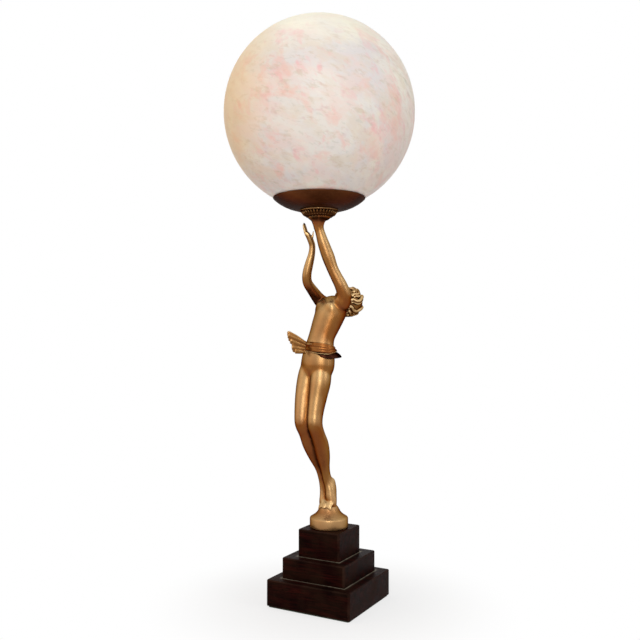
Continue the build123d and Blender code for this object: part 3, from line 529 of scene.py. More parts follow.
def tube_along(mesh, rows, sideways, halves, around):
    """Bridges flattened rings set square to a line of points; halves are their two half sizes."""
    centres = [at(*row[:3]) for row in rows]
    last = len(centres) - 1
    rings = []
    for i, centre in enumerate(centres):
        along = (centres[min(i + 1, last)] - centres[max(i - 1, 0)]).normalized()
        across = (sideways[i] - along * sideways[i].dot(along)).normalized()
        square = Matrix((across, along.cross(across), along)).transposed().to_4x4()
        ring = bmesh.ops.create_circle(
            mesh, cap_ends=i in (0, last), segments=around, radius=1.0,
            matrix=Matrix.Translation(centre) @ square @ Matrix.Diagonal((*halves[i], 1, 1)),
        )
        rings.append(list({edge for vert in ring["verts"] for edge in vert.link_edges}))
    for ring, next_ring in zip(rings, rings[1:]):
        bmesh.ops.bridge_loops(mesh, edges=ring + next_ring)


LIMB_STEPS, LIMB_SIDES = 8, 48
DIGIT_STEPS, DIGIT_SIDES = 4, 20


def limb(mesh, sections, *facing):
    """A limb or trunk through its sections; a facing that they share follows them."""
    rows = flowing([(*row, *facing) for row in sections], LIMB_STEPS)
    sideways = [leftward(row[5]) for row in rows]
    tube_along(mesh, rows, sideways, [(row[3] * MM, row[4] * MM) for row in rows], LIMB_SIDES)


def swelling(mesh, centre, radii, along=Vector((0, 0, 1)), facing=CHEST_FACE):
    """An egg-shaped swelling: radii to her left, forward and along its length."""
    up = along.normalized()
    left = leftward(facing)
    left = (left - up * left.dot(up)).normalized()
    turn = Matrix((left, up.cross(left), up)).transposed().to_4x4()
    size = Matrix.Diagonal([r * MM for r in radii] + [1])
    bmesh.ops.create_icosphere(
        mesh, subdivisions=4, radius=1.0, matrix=Matrix.Translation(at(*centre)) @ turn @ size
    )


def digit(mesh, points, root_radius, tip_radius):
    """A finger, toe or lock of hair through points, tapering to a round tip."""
    rows = flowing(points, DIGIT_STEPS)
    last = len(rows) - 1
    thick = [root_radius + (tip_radius - root_radius) * i / last for i in range(last + 1)]
    halves = [(radius * MM, radius * MM) for radius in thick]
    tube_along(mesh, rows, [leftward(CHEST_FACE)] * len(rows), halves, DIGIT_SIDES)
    swelling(mesh, points[-1], (tip_radius, tip_radius, tip_radius))


def cast_smooth(name, mesh, grain, passes):
    """Fuses overlapping lumps into one skin of small quads and smooths it."""
    rough = built(name + "_rough", mesh)
    fuse = rough.modifiers.new("fuse", "REMESH")
    fuse.mode = "VOXEL"
    fuse.voxel_size = grain
    bpy.context.view_layer.update()
    fused = bmesh.new()
    fused.from_object(rough, bpy.context.evaluated_depsgraph_get())
    bpy.data.objects.remove(rough)
    ease(fused, fused.verts, passes)
    return fused


def ease(mesh, verts, passes):
    """Draws points towards their neighbours, again and again."""
    soft = list(verts)
    for _ in range(passes):
        bmesh.ops.smooth_vert(mesh, verts=soft, factor=0.5, use_axis_x=True, use_axis_y=True, use_axis_z=True)


BODY_GRAIN = 0.66 * MM
HANDS_SMOOTHING, LIMBS_ROUNDS, ROUND_PASSES, ROUND_INSET = 5, 16, 2, 0.6
ANKLES_Z, WRISTS_Z = 0.106, 0.374

body_lumps = bmesh.new()
limb(body_lumps, TRUNK)
limb(body_lumps, LEFT_LEG, HIPS_FACE)
limb(body_lumps, RIGHT_LEG, HIPS_FACE)
limb(body_lumps, LEFT_ARM, CHEST_FACE)
limb(body_lumps, RIGHT_ARM)
limb(body_lumps, NECK, CHEST_FACE)

# Swellings that the sections leave out: her seat, calves and heels, then her chest, shoulders and
# shoulder blades.
for centre, radii, *along in (
    ((-4.6, 0.6, 240.5), (8.2, 8.2, 10.0)),
    ((-15.0, 8.6, 241.0), (8.2, 8.2, 10.0)),
    ((-7.4, -6.6, 159.0), (5.2, 5.4, 13.0), at(-3.0, -5.0, 14.0)),
    ((-17.0, -1.6, 159.0), (5.0, 5.2, 13.0), at(-5.0, -6.0, 14.0)),
    ((2.9, 3.0, 122.4), (3.8, 4.0, 5.8)),
    ((-3.4, 8.6, 119.5), (3.2, 3.4, 4.8)),
):
    swelling(body_lumps, centre, radii, *along, facing=HIPS_FACE)
for centre, radii in (
    ((-0.6, -3.4, 303.6), (8.8, 5.2, 11.0)),
    ((-8.8, 5.8, 304.0), (8.8, 5.2, 11.0)),
    ((13.4, -3.4, 313.6), (7.8, 8.6, 11.0)),
    ((8.6, -1.6, 311.0), (7.0, 7.0, 8.4)),
    ((-6.8, 18.2, 313.0), (7.0, 7.4, 8.0)),
    ((13.8, 5.6, 304.5), (5.0, 4.4, 11.5)),
    ((4.4, 17.0, 304.0), (4.8, 4.0, 10.5)),
):
    swelling(body_lumps, centre, radii)

# Toes, laid over the edge of the mound from the ball of each foot; the big toe is the inner one.
TOE_SPREAD = (-3.8, -1.9, 0.0, 1.9, 3.8)
TOES_LEFT, TOES_AHEAD = Vector((0.799, -0.602, 0)), Vector((-0.602, -0.799, 0))
mound_reach, mound_z = zip(*PLINTH_PROFILE[::-1])


def on_mound(spot, above):
    """The point above this spot of the mound's surface."""
    return (spot.x, spot.y, float(np.interp(spot.xy.length, mound_reach, mound_z)) + above)


for ball, big_toe in (((0.6, -4.4, 102.2), 0), ((-4.9, -0.6, 102.2), 4)):
    swelling(body_lumps, ball, (5.0, 4.0, 3.6), facing=HIPS_FACE)
    for i, across in enumerate(TOE_SPREAD):
        size = 1.6 if i == big_toe else 1.15
        root = Vector(ball) + TOES_LEFT * across + TOES_AHEAD
        knuckle = root + TOES_AHEAD * 2.6
        tip = root + TOES_AHEAD * (5.2 - 0.35 * abs(i - big_toe))
        digit(body_lumps, [tuple(root), on_mound(knuckle, 2.2), on_mound(tip, 0.7)], size * 1.05, size)

# The open right hand: four fingers bent back and the thumb apart.
RIGHT_FINGERS = [
    [(-24.8, -5.6, 382.0), (-26.9, -6.2, 388.2), (-28.0, -6.4, 393.8)],
    [(-24.0, -3.9, 382.4), (-26.0, -4.3, 389.2), (-27.2, -4.5, 395.6)],
    [(-23.2, -2.2, 382.4), (-25.2, -2.4, 389.0), (-26.4, -2.3, 395.0)],
    [(-22.4, -0.7, 381.8), (-24.4, -0.6, 387.6), (-25.6, -0.2, 392.8)],
]
for joints in RIGHT_FINGERS:
    digit(body_lumps, joints, 1.4, 0.95)
digit(body_lumps, [(-19.4, -3.0, 375.5), (-18.0, -4.6, 382.0), (-17.4, -4.4, 387.4)], 1.3, 0.7)

# The left hand lies open under the cup, its fingers laid out against the foot of it.
PALM_X, PALM_Y = -12.0, -8.0
for i in range(5):
    turn = radians(150 + i * 62)
    joints = [
        (PALM_X + reach * cos(turn), PALM_Y + reach * sin(turn), z)
        for reach, z in ((4.5, 391.5), (6.0, 396.2), (8.2, 399.0), (10.4, 401.0))
    ]
    digit(body_lumps, joints, 1.3, 1.4)

dancer_skin = cast_smooth("dancer_body", body_lumps, BODY_GRAIN, HANDS_SMOOTHING)
for step in range(LIMBS_ROUNDS):
    inset = ROUND_INSET * step * MM
    limbs = [vert for vert in dancer_skin.verts if ANKLES_Z + inset < vert.co.z < WRISTS_Z - inset]
    ease(dancer_skin, limbs, ROUND_PASSES)
dancer = piece("dancer_body", dancer_skin, [skin_bronze])
# Painted shade: the patina is darkened under the far arm, in the hollow of the neck and on the palm under the
# cup, where shade falls; surfaces facing down are painted darker and those facing up lighter.
note_hollows(dancer, painted_shade_spots=[((-9, 15, 315), 13, 0.42), ((4, 6, 316), 9, 0.40), ((-12, -8, 399), 7, 0.22)])
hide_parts("figure_body", "left_arm", "right_arm")

# ---- Head and hair ---------------------------------------------------
# The head is thrown back with its calm, plain face to the sky. It is chased finer than the body.
# Her hair is a full, waved bob: chunky locks roll from a middle parting over the ears to the nape.

HEAD_CENTRE = Vector((20.6, 24.0, 315.9))
TO_LEFT = Vector((0.643, -0.766, 0.0))
TO_CROWN = Vector((0.754, 0.633, 0.174))
TO_FACE = Vector((-0.133, -0.112, 0.985))


def on_head(left, crown, face):
    """A point of the head's own layout, in the figure's."""
    return HEAD_CENTRE + TO_LEFT * left + TO_CROWN * crown + TO_FACE * face


def head_lump(mesh, centre, radii):
    """An egg on the head, by its radii to the left, the crown and the face."""
    turn = (sight_turn.to_3x3() @ Matrix((TO_LEFT, TO_CROWN, TO_FACE)).transposed()).to_4x4()
    size = Matrix.Diagonal([r * MM for r in radii] + [1])
    bmesh.ops.create_icosphere(
        mesh, subdivisions=4, radius=1.0, matrix=Matrix.Translation(at(*on_head(*centre))) @ turn @ size
    )


def head_digit(mesh, points, root_radius, tip_radius):
    """A tapering ridge over the head."""
    digit(mesh, [tuple(on_head(*point)) for point in points], root_radius, tip_radius)


head_lumps = bmesh.new()
head_lump(head_lumps, (0, 2.5, -1.5), (11.3, 13.2, 13.0))
head_lump(head_lumps, (0, -4.0, 2.6), (8.8, 12.4, 8.6))
head_lump(head_lumps, (0, -13.4, 7.6), (3.7, 3.0, 3.4))
head_lump(head_lumps, (0, 6.6, 5.2), (8.6, 6.2, 6.8))
for side in (-1, 1):
    head_lump(head_lumps, (side * 4.9, -5.2, 6.6), (4.0, 5.0, 3.8))
    head_lump(head_lumps, (side * 4.3, 3.2, 9.5), (3.6, 0.95, 1.5))
    head_lump(head_lumps, (side * 4.1, 0.4, 8.6), (2.5, 1.7, 2.1))
    head_lump(head_lumps, (side * 1.5, -6.0, 12.4), (1.0, 0.9, 1.4))
    jaw = [(side * 8.6, -3.0, -0.5), (side * 6.8, -9.0, 3.0), (side * 2.4, -13.6, 7.0)]
    head_digit(head_lumps, jaw, 2.6, 2.3)
    head_lump(head_lumps, (side * 11.0, -0.5, -1.0), (1.0, 3.2, 2.1))
head_digit(head_lumps, [(0, 2.2, 10.2), (0, -1.4, 12.0), (0, -5.3, 14.0)], 1.05, 1.35)
head_lump(head_lumps, (0, -9.0, 11.3), (2.9, 0.75, 1.5))
head_lump(head_lumps, (0, -10.7, 10.9), (2.4, 0.95, 1.5))
HEAD_NECK = [
    (8.8, 13.8, 314.4, 5.2, 5.4), (12.5, 17.2, 316.0, 5.4, 5.6),
    (17.0, 21.0, 314.5, 6.5, 6.5), (21.0, 24.0, 311.5, 7.5, 7.5),
]
limb(head_lumps, HEAD_NECK, CHEST_FACE)

HEAD_GRAIN = 0.30 * MM
head = piece("head", cast_smooth("head", head_lumps, HEAD_GRAIN, 4), [skin_bronze])
note_hollows(head)
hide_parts("figure_head")

# A skull cap of hair, and the locks laid over it: each rolls from the parting to the bob's edge,
# with a thinner strand beside it.
CAP_CENTRE = Vector((0, 1.1, -1.6))
CAP_RADII = Vector((13.0, 14.8, 14.2))
LOCKS = 6
LOCK_THICK, LOCK_THIN = 2.6, 1.8
STRAND_ASIDE, STRAND_THICK = 2.5, 1.2
LOCK_WAVES = 1.7
LOCK_SWING = 1.8
LOCK_STEPS = 9
PARTING_FROM, PARTING_TO = 62, -82
LOCK_ENDS = [(12.2, 0.4, 8.0), (13.8, -5.6, 2.6), (13.0, -9.8, -4.0), (10.0, -10.8, -9.6), (4.6, -9.4, -14.2)]


def lock_course(share, aside):
    """The joints of one lock of the left side, moved aside along the scalp."""
    theta = radians(PARTING_FROM + (PARTING_TO - PARTING_FROM) * share)
    start = Vector((0.05, cos(theta), sin(theta)))
    along_edge = flowing(LOCK_ENDS, 4)
    goal = Vector(along_edge[round(share * (len(along_edge) - 1))]) - CAP_CENTRE
    goal = Vector([goal[i] / CAP_RADII[i] for i in range(3)])
    across = start.cross(goal).normalized()
    joints = []
    for step in range(LOCK_STEPS):
        t = step / (LOCK_STEPS - 1)
        course = start.lerp(goal.normalized(), t).normalized()
        swing = LOCK_SWING * sin(2 * pi * (LOCK_WAVES * t + 0.12)) * min(1.0, 3 * t) + aside
        stand = 1.0 + (goal.length - 1.0) * t * t
        on_scalp = Vector([course[i] * CAP_RADII[i] * stand for i in range(3)]) + CAP_CENTRE
        joints.append(on_scalp + across * swing)
    return joints


hair_lumps = bmesh.new()
head_lump(hair_lumps, (0, 1.7, -2.6), (13.2, 14.5, 14.1))
for side in (-1, 1):
    head_lump(hair_lumps, (side * 7.6, -1.6, -4.4), (5.8, 9.4, 9.8))
    for k in range(LOCKS):
        for aside, thick, thin in ((0, LOCK_THICK, LOCK_THIN), (STRAND_ASIDE, STRAND_THICK, STRAND_THICK)):
            joints = lock_course(k / (LOCKS - 1), aside)
            head_digit(hair_lumps, [(side * joint.x, joint.y, joint.z) for joint in joints], thick, thin)

HAIR_GRAIN = 0.36 * MM
hair = piece("hair", cast_smooth("hair", hair_lumps, HAIR_GRAIN, 4), [chased_bronze])
# The hair's ridges and tops take a bright gold: partly rubbed wear, partly a painted highlight.
note_hollows(hair, passes=4, contrast=8.0, above=0.2)

# ---- Sash ------------------------------------------------------------
# A sash of cast cloth is drawn round her hips, gathered in folds at the right hip, where its end
# flares out in a pleated fan. Round the left hip it ends in a rolled lip over a flared hem, painted
# near-black as the shade under the lip.

SASH_COLUMNS = 120
# Way round the body in degrees from the camera's right, away being 90: heights of the band's top,
# its lip and the hem, and how far the lip and the hem stand off the skin.
SASH_COURSE = [
    (-180, 271.0, 262.0, 260.8, 0.7, 0.3),
    (-135, 270.8, 260.6, 259.6, 0.7, 0.3),
    (-105, 270.3, 259.6, 258.6, 1.1, 0.4),
    (-93, 270.0, 259.0, 257.4, 1.7, 0.7),
    (-80, 269.5, 258.6, 254.8, 2.2, 1.0),
    (-60, 268.6, 258.2, 253.3, 2.6, 1.5),
    (-42, 267.2, 259.6, 253.2, 2.6, 2.4),
    (-25, 266.0, 261.2, 253.8, 2.4, 4.8),
    (-5, 265.4, 261.6, 254.2, 2.6, 7.4),
    (20, 265.4, 261.6, 254.2, 2.6, 8.2),
    (60, 266.4, 261.8, 254.8, 2.4, 7.2),
    (100, 268.4, 262.2, 256.6, 1.8, 4.6),
    (140, 270.2, 262.4, 259.0, 1.2, 2.0),
    (180, 271.0, 262.0, 260.8, 0.7, 0.3),
]
BAND_ROWS, HEM_ROWS = 18, 8
CLOTH = 0.8
LIP_ROLL = 0.9
INSIDE_SKIN = -1.6
# The gathers: way round, reach round, depth, folds down the band and where the first crease lies.
GATHERS = [(-155, 42, 0.85, 1.8, 0.23), (-18, 26, 0.45, 2.6, 0.10), (-95, 46, 0.20, 4.2, 0.10)]

trunk_rows = flowing(TRUNK, LIMB_STEPS)


def skin_at(turn, z):
    """How far the trunk's skin stands from its own middle at a height and way round, and the middle."""
    upper = next(i for i, row in enumerate(trunk_rows) if row[2] >= z)
    low, high = trunk_rows[upper - 1], trunk_rows[upper]
    t = (z - low[2]) / (high[2] - low[2])
    x, y, _, half_width, half_depth, facing = [a + (b - a) * t for a, b in zip(low, high)]
    off = turn + radians(facing)
    return 1 / hypot(cos(off) / half_width, sin(off) / half_depth), x, y


def between(rows, where):
    """Reads a table by its first column, with smooth steps between the rows."""
    for low, high in zip(rows, rows[1:]):
        if where <= high[0]:
            t = (where - low[0]) / (high[0] - low[0])
            t = t * t * (3 - 2 * t)
            return [a + (b - a) * t for a, b in zip(low[1:], high[1:])]
    return list(rows[-1][1:])


def sash_profile(turn):
    """Height and stand-off down the band, round the lip, down the hem and back inside the skin."""
    way = degrees(turn)
    top, lip, hem, lip_stand, hem_stand = between(SASH_COURSE, way)
    profile = [(top - 0.2, INSIDE_SKIN), (top + 0.1, 0.5)]
    for k in range(BAND_ROWS):
        share = (k + 0.5) / BAND_ROWS
        folds = 0.0
        for middle, reach, depth, count, first in GATHERS:
            near = exp(-((((way - middle + 180) % 360 - 180) / reach) ** 2))
            folds -= depth * near * cos(2 * pi * count * (share - first)) * min(1, 6 * share, 6 * (1 - share))
        profile.append((top + (lip - top) * share, CLOTH + lip_stand * share**2.2 + folds))
    profile += [
        (lip + 0.2, CLOTH + lip_stand + 0.1),
        (lip - 0.5, CLOTH + lip_stand + 0.1),
        (lip - LIP_ROLL, CLOTH + lip_stand - 0.4),
    ]
    tucked = min(hem_stand, max(0.2, lip_stand - 1.2))
    height = max(0.2, lip - LIP_ROLL - hem)
    for k in range(HEM_ROWS):
        share = k / (HEM_ROWS - 1)
        ripple = 0.12 * hem_stand * share * sin(9 * turn)
        stand = tucked + (hem_stand - tucked) * (1 - (1 - share) ** 2.2) + ripple
        profile.append((lip - LIP_ROLL - height * share, stand))
    profile += [(hem - 0.4, hem_stand - 0.5), (hem, min(0.0, hem_stand - 1.0)), (hem + 0.3, INSIDE_SKIN)]
    return profile


sash_mesh = bmesh.new()
sash_rings = []
row_count = len(sash_profile(0))
for row in range(row_count):
    ring = bmesh.ops.create_circle(sash_mesh, cap_ends=False, segments=SASH_COLUMNS, radius=1.0)["verts"]
    for vert in ring:
        turn = atan2(vert.co.y, vert.co.x)
        z, stand = sash_profile(turn)[row]
        radius, x, y = skin_at(turn, z)
        vert.co = at(x + (radius + stand) * cos(turn), y + (radius + stand) * sin(turn), z)
    sash_rings.append(list({edge for vert in ring for edge in vert.link_edges}))
HEM_STARTS = 2 + BAND_ROWS + 2
# The hem rows take the near-black painted shade.
for row, (ring, next_ring) in enumerate(zip(sash_rings, sash_rings[1:] + sash_rings[:1])):
    for face in bmesh.ops.bridge_loops(sash_mesh, edges=ring + next_ring)["faces"]:
        face.material_index = int(row >= HEM_STARTS)
bmesh.ops.recalc_face_normals(sash_mesh, faces=sash_mesh.faces)
sash = piece("sash", sash_mesh, [skin_bronze, hem_shade_bronze])
soften = sash.modifiers.new("soften", "SUBSURF")
soften.levels = soften.render_levels = 1
note_hollows(sash, passes=1, contrast=1.6, above=0.25)
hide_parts("hip_sash", "sash_hem")

# The fan's pleats, from the gather to its scalloped edge, then a knot over their roots.
FAN_PLEATS = [
    [(-25.4, -8.2, 269.4), (-33.6, -12.8, 275.0), (-43.4, -14.6, 279.8)],
    [(-25.4, -8.5, 268.2), (-33.8, -13.3, 272.8), (-43.0, -15.1, 276.9)],
    [(-25.4, -8.3, 266.9), (-33.8, -12.8, 270.6), (-42.2, -14.6, 274.0)],
    [(-25.4, -8.7, 265.5), (-33.6, -13.3, 268.2), (-40.6, -15.0, 271.2)],
    [(-25.4, -8.4, 264.1), (-33.2, -12.8, 265.9), (-38.8, -14.5, 267.8)],
    [(-25.4, -8.8, 262.7), (-32.8, -13.3, 263.6), (-38.8, -14.9, 264.6)],
    [(-25.4, -8.6, 261.2), (-32.2, -12.8, 261.6), (-38.0, -14.3, 262.2)],
    [(-25.4, -9.0, 259.7), (-31.4, -13.2, 260.1), (-35.6, -14.5, 260.7)],
]
PLEAT_THICK, PLEAT_ROOT, PLEAT_SPREAD, PLEAT_END, PLEAT_STEPS = 0.9, 1.6, 1.2, 2.2, 6
fan_lumps = bmesh.new()
for pleat in FAN_PLEATS:
    rows = flowing(pleat, PLEAT_STEPS)
    count = len(rows)
    halves = [(MM * PLEAT_THICK, MM * (PLEAT_ROOT + PLEAT_SPREAD * i / count)) for i in range(count)]
    tube_along(fan_lumps, rows, [at(0.25, 1, 0).normalized()] * count, halves, DIGIT_SIDES)
    swelling(fan_lumps, pleat[-1], (PLEAT_THICK, PLEAT_THICK, PLEAT_END), facing=0)

KNOT = [(-25.2, -5.8, 271.0), (-27.2, -7.6, 268.4), (-27.6, -8.8, 264.0), (-25.6, -9.2, 259.6)]
digit(fan_lumps, KNOT, 1.5, 1.3)
fan = piece("sash_fan_cloth", cast_smooth("sash_fan_cloth", fan_lumps, 0.32 * MM, 9), [cloth_bronze])
note_hollows(fan, passes=5, contrast=5.0, above=0.25)
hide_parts("sash_fan")


# ---- Gallery ---------------------------------------------------------
# A small gilt cup, cast with a row of leaves under a polished band, stands on the raised hand. The
# shallow spun dish over it, patinated dark brown, carries the globe in its turned-up rim.

CUP_AXIS = (-6.0, -12.5)
CUP_PROFILE = [
    (5.0, 401.5), (11.5, 401.5), (13.4, 401.7), (14.6, 402.3), (15.4, 403.4), (16.2, 404.9), (17.2, 406.2),
    (18.4, 406.6), (19.3, 406.7), (20.0, 407.1), (20.3, 407.8), (20.1, 408.5), (19.5, 408.8), (5.0, 408.8),
]
CUP_LEAVES = 32

cup_mesh = turned(CUP_PROFILE + CUP_PROFILE[:1], CUP_AXIS, 96)
cup = piece("cup", cup_mesh, [chased_bronze])
# The band's ridge takes the bright gold: partly polish, partly a painted highlight.
note_hollows(cup, passes=1, contrast=3.0)
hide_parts("support_cup")

leaf_mesh = bmesh.new()
for i in range(CUP_LEAVES):
    turn = 2 * pi * i / CUP_LEAVES
    for reach, z, tilt, size in (
        (16.9, 404.9, 0.55, (1.0, 2.3, 0.9)),
        (18.3, 406.5, 0.20, (0.8, 0.8, 0.8)),
        (13.4, 402.2, 1.00, (0.95, 2.2, 0.8)),
        (10.2, 399.9, 0.80, (0.80, 2.0, 0.7)),
    ):
        x, y = CUP_AXIS[0] + reach * cos(turn), CUP_AXIS[1] + reach * sin(turn)
        spot = Matrix.Translation((x * MM, y * MM, z * MM))
        lean = Matrix.Rotation(turn - pi / 2, 4, "Z") @ Matrix.Rotation(pi / 2 - tilt, 4, "X")
        bmesh.ops.create_uvsphere(
            leaf_mesh, u_segments=12, v_segments=8, radius=1.0,
            matrix=spot @ lean @ Matrix.Diagonal([part * MM for part in size] + [1]),
        )
leaves = piece("cup_leaves", leaf_mesh, [chased_bronze])
# The leaves' tops are painted lighter and their undersides darker, as painted light and shade.
note_hollows(leaves, passes=0, contrast=1.0)

DISH_PROFILE = [
    (5.2, 409.6), (5.2, 408.8), (17.0, 408.8), (18.6, 408.75), (23.0, 408.9), (28.0, 409.8), (33.0, 411.3),
    (38.0, 413.5), (43.0, 416.4), (46.4, 419.0), (48.3, 420.7), (48.5, 421.3), (48.2, 421.6), (47.7, 421.5),
    (42.6, 418.3), (37.7, 415.7), (32.7, 413.5), (27.7, 411.8), (22.8, 410.4), (18.6, 409.65), (5.2, 409.6),
]
dish_paint, dish_tree, dish_shader = new_paint("brown_patina", metallic=0.75, roughness=0.42)
dish_shader.inputs["Specular Tint"].default_value = (0.14, 0.07, 0.05, 1)
dish_shader.inputs["Specular IOR Level"].default_value = 0.08
dish_drift = spread(dish_tree, cloud(dish_tree, object_place(dish_tree), 0.028, 4.0), 0.35, 0.7)
dish_fine = cloud(dish_tree, object_place(dish_tree), 0.0016, 4.0)
dish_colour = mixed(dish_tree, dish_drift, (0.060, 0.018, 0.006), (0.115, 0.036, 0.012))
dish_rubbed = spread(dish_tree, dish_fine, 0.5, 0.75, 0.0, 0.4)
dish_colour = mixed(dish_tree, dish_rubbed, dish_colour, (0.150, 0.055, 0.022))
dish_tree.links.new(dish_colour, dish_shader.inputs["Base Color"])
dish_tree.links.new(spread(dish_tree, dish_fine, 0.3, 0.7, 0.36, 0.5), dish_shader.inputs["Roughness"])
bump(dish_tree, dish_shader, dish_fine, 0.00005, 0.5)
dish = piece("dish", turned(DISH_PROFILE, CUP_AXIS, 128), [dish_paint])
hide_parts("gallery_dish")

# ---- Glass globe -----------------------------------------------------
# A blown globe of mottled glass, 200 mm across with a 3.5 mm wall, that rests on a felt ring in
# the dish. Flakes of pink, salmon, tan and grey-green glass lie in cream, drawn out by the blowing.

GLOBE_CENTRE = (-6.0, -12.5, 510.0)
GLOBE_OUTER, GLOBE_WALL = 100.0, 3.5
GLOBE_FOOT_Z, GLOBE_MOUTH = 418.55, 36.0
GLOBE_ROWS, GLOBE_SIDES = 72, 144
GLOBE_MIDDLE = [part * MM for part in GLOBE_CENTRE]

globe_inner = GLOBE_OUTER - GLOBE_WALL
outer_end = acos((GLOBE_CENTRE[2] - GLOBE_FOOT_Z) / GLOBE_OUTER)
inner_end = atan2(GLOBE_MOUTH, sqrt(globe_inner**2 - GLOBE_MOUTH**2))
globe_profile = []
for radius, first, last in ((GLOBE_OUTER, outer_end, pi), (globe_inner, pi, inner_end)):
    for k in range(GLOBE_ROWS + 1):
        low = first + (last - first) * k / GLOBE_ROWS
        globe_profile.append((abs(radius * sin(low)), GLOBE_CENTRE[2] - radius * cos(low)))
globe_profile.append((GLOBE_MOUTH, GLOBE_FOOT_Z + 0.6))
globe_profile.append((GLOBE_MOUTH + 0.6, GLOBE_FOOT_Z))
globe_profile.append(globe_profile[0])


def streaks(tree, size, stretch, twist, detail, seed, swirl):
    """Noise on the globe drawn out round its upright axis, leaning as it runs down."""
    where = tree.nodes.new("ShaderNodeTexCoord")
    moved = reckoned(tree, "VectorMath", "SUBTRACT", where.outputs["Object"], GLOBE_MIDDLE)
    split = tree.nodes.new("ShaderNodeSeparateXYZ")
    feed(tree, split.inputs[0], moved)
    lean = tree.nodes.new("ShaderNodeVectorRotate")
    lean.rotation_type = "AXIS_ANGLE"
    lean.inputs["Axis"].default_value = (0, 0, 1)
    feed(tree, lean.inputs["Vector"], moved)
    swing = reckoned(tree, "Math", "MULTIPLY_ADD", split.outputs["Z"], twist, seed)
    feed(tree, lean.inputs["Angle"], swing)
    drawn = reckoned(tree, "VectorMath", "MULTIPLY", lean.outputs[0], stretch)
    return cloud(tree, drawn, size, detail, rough=0.6, swirl=swirl)


glass, glass_tree, glass_shader = new_paint("mottled_glass", roughness=0.42)
glass_shader.inputs["IOR"].default_value = 1.5
glass_shader.inputs["Specular IOR Level"].default_value = 0.18
glass_shader.inputs["Subsurface Weight"].default_value = 0.25
glass_shader.inputs["Subsurface Radius"].default_value = (0.004, 0.0025, 0.0018)
glass_shader.inputs["Subsurface Scale"].default_value = 1.0

# The two creams and the amber below serve as painted light and glow; blush and pearl are partly the glass's
# own colour, partly painted shade and glow.
CREAM, LIT_CREAM = (0.84, 0.79, 0.63), (0.90, 0.85, 0.72)
IVORY, PEARL = (0.82, 0.77, 0.67), (0.70, 0.655, 0.64)
BLUSH, PINK, SALMON, ROSE = (0.80, 0.60, 0.54), (0.80, 0.42, 0.42), (0.82, 0.42, 0.34), (0.62, 0.40, 0.38)
SAND, TAN, GREY_GREEN, AMBER_GLOW = (0.70, 0.58, 0.43), (0.56, 0.44, 0.30), (0.48, 0.47, 0.39), (0.83, 0.58, 0.28)


def towards(tree, direction, low, high, most):
    """0 to most towards one side of the globe as the camera sees it, low and high from its centre."""
    side = (sight_turn @ Vector(direction)).normalized()
    across = reckoned(tree, "VectorMath", "DOT_PRODUCT", object_place(tree, GLOBE_MIDDLE), side)
    return spread(tree, across, low, high, 0.0, most)


def side_light_tint(colour, direction, low, high, most, tint):
    """The glass's colour with painted light and shade laid over it as a tint towards one side."""
    return mixed(glass_tree, towards(glass_tree, direction, low, high, most), colour, tint)


# Ivory clouded with pearl, then painted light and shade laid on by side as the camera sees the globe: a
# lighter cream at the crown and right where the lamps fall, pearl painted on the side facing the camera, a
# painted amber glow at the left rim and a painted blush at the lower right.
clouds = spread(glass_tree, streaks(glass_tree, 0.065, (1, 1, 1.2), 5.0, 3.0, 0.4, 0.8), 0.40, 0.58)
glass_colour = mixed(glass_tree, clouds, IVORY, PEARL)
glass_colour = side_light_tint(glass_colour, (-0.3, 0, 1), 0.020, 0.085, 0.9, CREAM)
glass_colour = side_light_tint(glass_colour, (1, 0, 0.1), 0.055, 0.095, 0.8, LIT_CREAM)
glass_colour = side_light_tint(glass_colour, (-0.15, -1, -0.15), 0.055, 0.100, 0.6, PEARL)
for size, stretch, twist, low, high, most, over, seed in (
    (0.036, (1, 1, 1.5), 6.0, 0.46, 0.60, 0.60, BLUSH, 1.3),
    (0.026, (1, 1, 1.3), 7.0, 0.50, 0.62, 0.50, SAND, 7.2),
    (0.030, (1, 1, 0.9), 4.0, 0.54, 0.69, 0.75, SALMON, 4.1),
    (0.019, (1, 1, 0.8), 4.0, 0.56, 0.70, 0.80, PINK, 2.6),
    (0.012, (1, 1, 1.8), 9.0, 0.56, 0.68, 0.50, TAN, 5.7),
    (0.0070, (1, 1, 1.6), 9.0, 0.57, 0.68, 0.38, GREY_GREEN, 8.8),
    (0.0090, (1, 1, 1.3), 8.0, 0.59, 0.69, 0.42, ROSE, 3.9),
    (0.0055, (1, 1, 1.5), 12.0, 0.60, 0.71, 0.50, IVORY, 10.1),
):
    drawn_out = streaks(glass_tree, size, stretch, twist, 4.0, seed, 0.35)
    flakes = spread(glass_tree, drawn_out, low, high, 0.0, most)
    fewer_above = towards(glass_tree, (0, 0, 1), 0.090, 0.030, 0.75)
    thinned = reckoned(glass_tree, "Math", "MULTIPLY", flakes, fewer_above)
    glass_colour = mixed(glass_tree, thinned, glass_colour, over)
# Painted glow: a warm amber at the left rim and a blush at the lower right, where light shows through the
# glass.
glass_colour = side_light_tint(glass_colour, (-1, 0, 0.12), 0.045, 0.100, 0.85, AMBER_GLOW)
glass_colour = side_light_tint(glass_colour, (0.8, 0, -0.55), 0.062, 0.100, 0.40, BLUSH)
glass_tree.links.new(glass_colour, glass_shader.inputs["Base Color"])

globe = piece("globe", turned(globe_profile, GLOBE_CENTRE[:2], GLOBE_SIDES), [glass], body="globe")
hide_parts("globe_shade")

# ---- Felt, rods, wiring, lampholder and bulb -------------------------
# The rest keeps the shapes of the plain solids and only takes its finishes: wool felt, turned and
# plated brass, steel rods, moulded insulation, glazed porcelain, an opal bulb and thin twin flex.


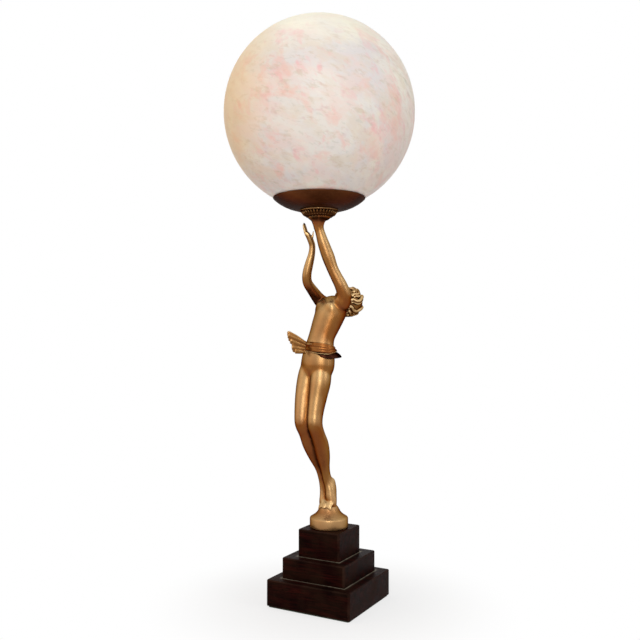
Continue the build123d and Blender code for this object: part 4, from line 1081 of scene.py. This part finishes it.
def fitting(names, finish_name, light, dark, size, rough, metallic=0.0, depth=0.00004):
    """Puts a clouded finish between two colours on pieces that keep their own shape."""
    finish, tree, shader = new_paint(finish_name, metallic)
    drift = spread(tree, cloud(tree, object_place(tree), size, 4.0), 0.35, 0.68)
    tree.links.new(mixed(tree, drift, light, dark), shader.inputs["Base Color"])
    tree.links.new(spread(tree, drift, 0, 1, *rough), shader.inputs["Roughness"])
    bump(tree, shader, cloud(tree, object_place(tree), size / 6, 2.0), depth, 0.5)
    for name in names:
        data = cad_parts[name].data
        data.materials.clear()
        data.materials.append(finish)


fitting(
    ["base_felt", "globe_cushion"], "green_felt",
    (0.050, 0.070, 0.045), (0.028, 0.040, 0.026), 0.0012, (0.85, 0.98), depth=0.0003,
)
fitting(["step_dowels"], "beech", (0.52, 0.36, 0.20), (0.42, 0.27, 0.14), 0.003, (0.5, 0.7))
fitting(
    ["cord_bushing", "clamp_nut", "nipple_nut", "holder_cap", "holder_shell", "screw_shell",
     "centre_contact"],
    "satin_brass", (0.62, 0.44, 0.19), (0.46, 0.31, 0.12), 0.006, (0.26, 0.42), metallic=1.0,
)
fitting(
    ["clamp_rod", "clamp_washer", "cup_nipple", "terminal_screws", "bulb_filament"],
    "plated_steel", (0.56, 0.56, 0.55), (0.42, 0.42, 0.41), 0.004, (0.3, 0.46), metallic=1.0,
)
fitting(
    ["terminal_block", "bulb_vitrite"], "black_moulding",
    (0.020, 0.019, 0.018), (0.036, 0.034, 0.032), 0.005, (0.35, 0.5),
)
fitting(["holder_insulator"], "glazed_porcelain", (0.80, 0.78, 0.71), (0.72, 0.69, 0.61), 0.008, (0.12, 0.2))
fitting(
    ["bulb_cap", "bulb_tip"], "tinned_brass",
    (0.62, 0.60, 0.55), (0.50, 0.48, 0.43), 0.004, (0.28, 0.44), metallic=1.0,
)
fitting(["inner_flex"], "golden_flex", (0.45, 0.33, 0.14), (0.35, 0.25, 0.10), 0.002, (0.5, 0.7))
fitting(
    ["bulb_glass", "bulb_stem"], "opal_glass",
    (0.86, 0.85, 0.81), (0.80, 0.79, 0.75), 0.020, (0.25, 0.35),
)
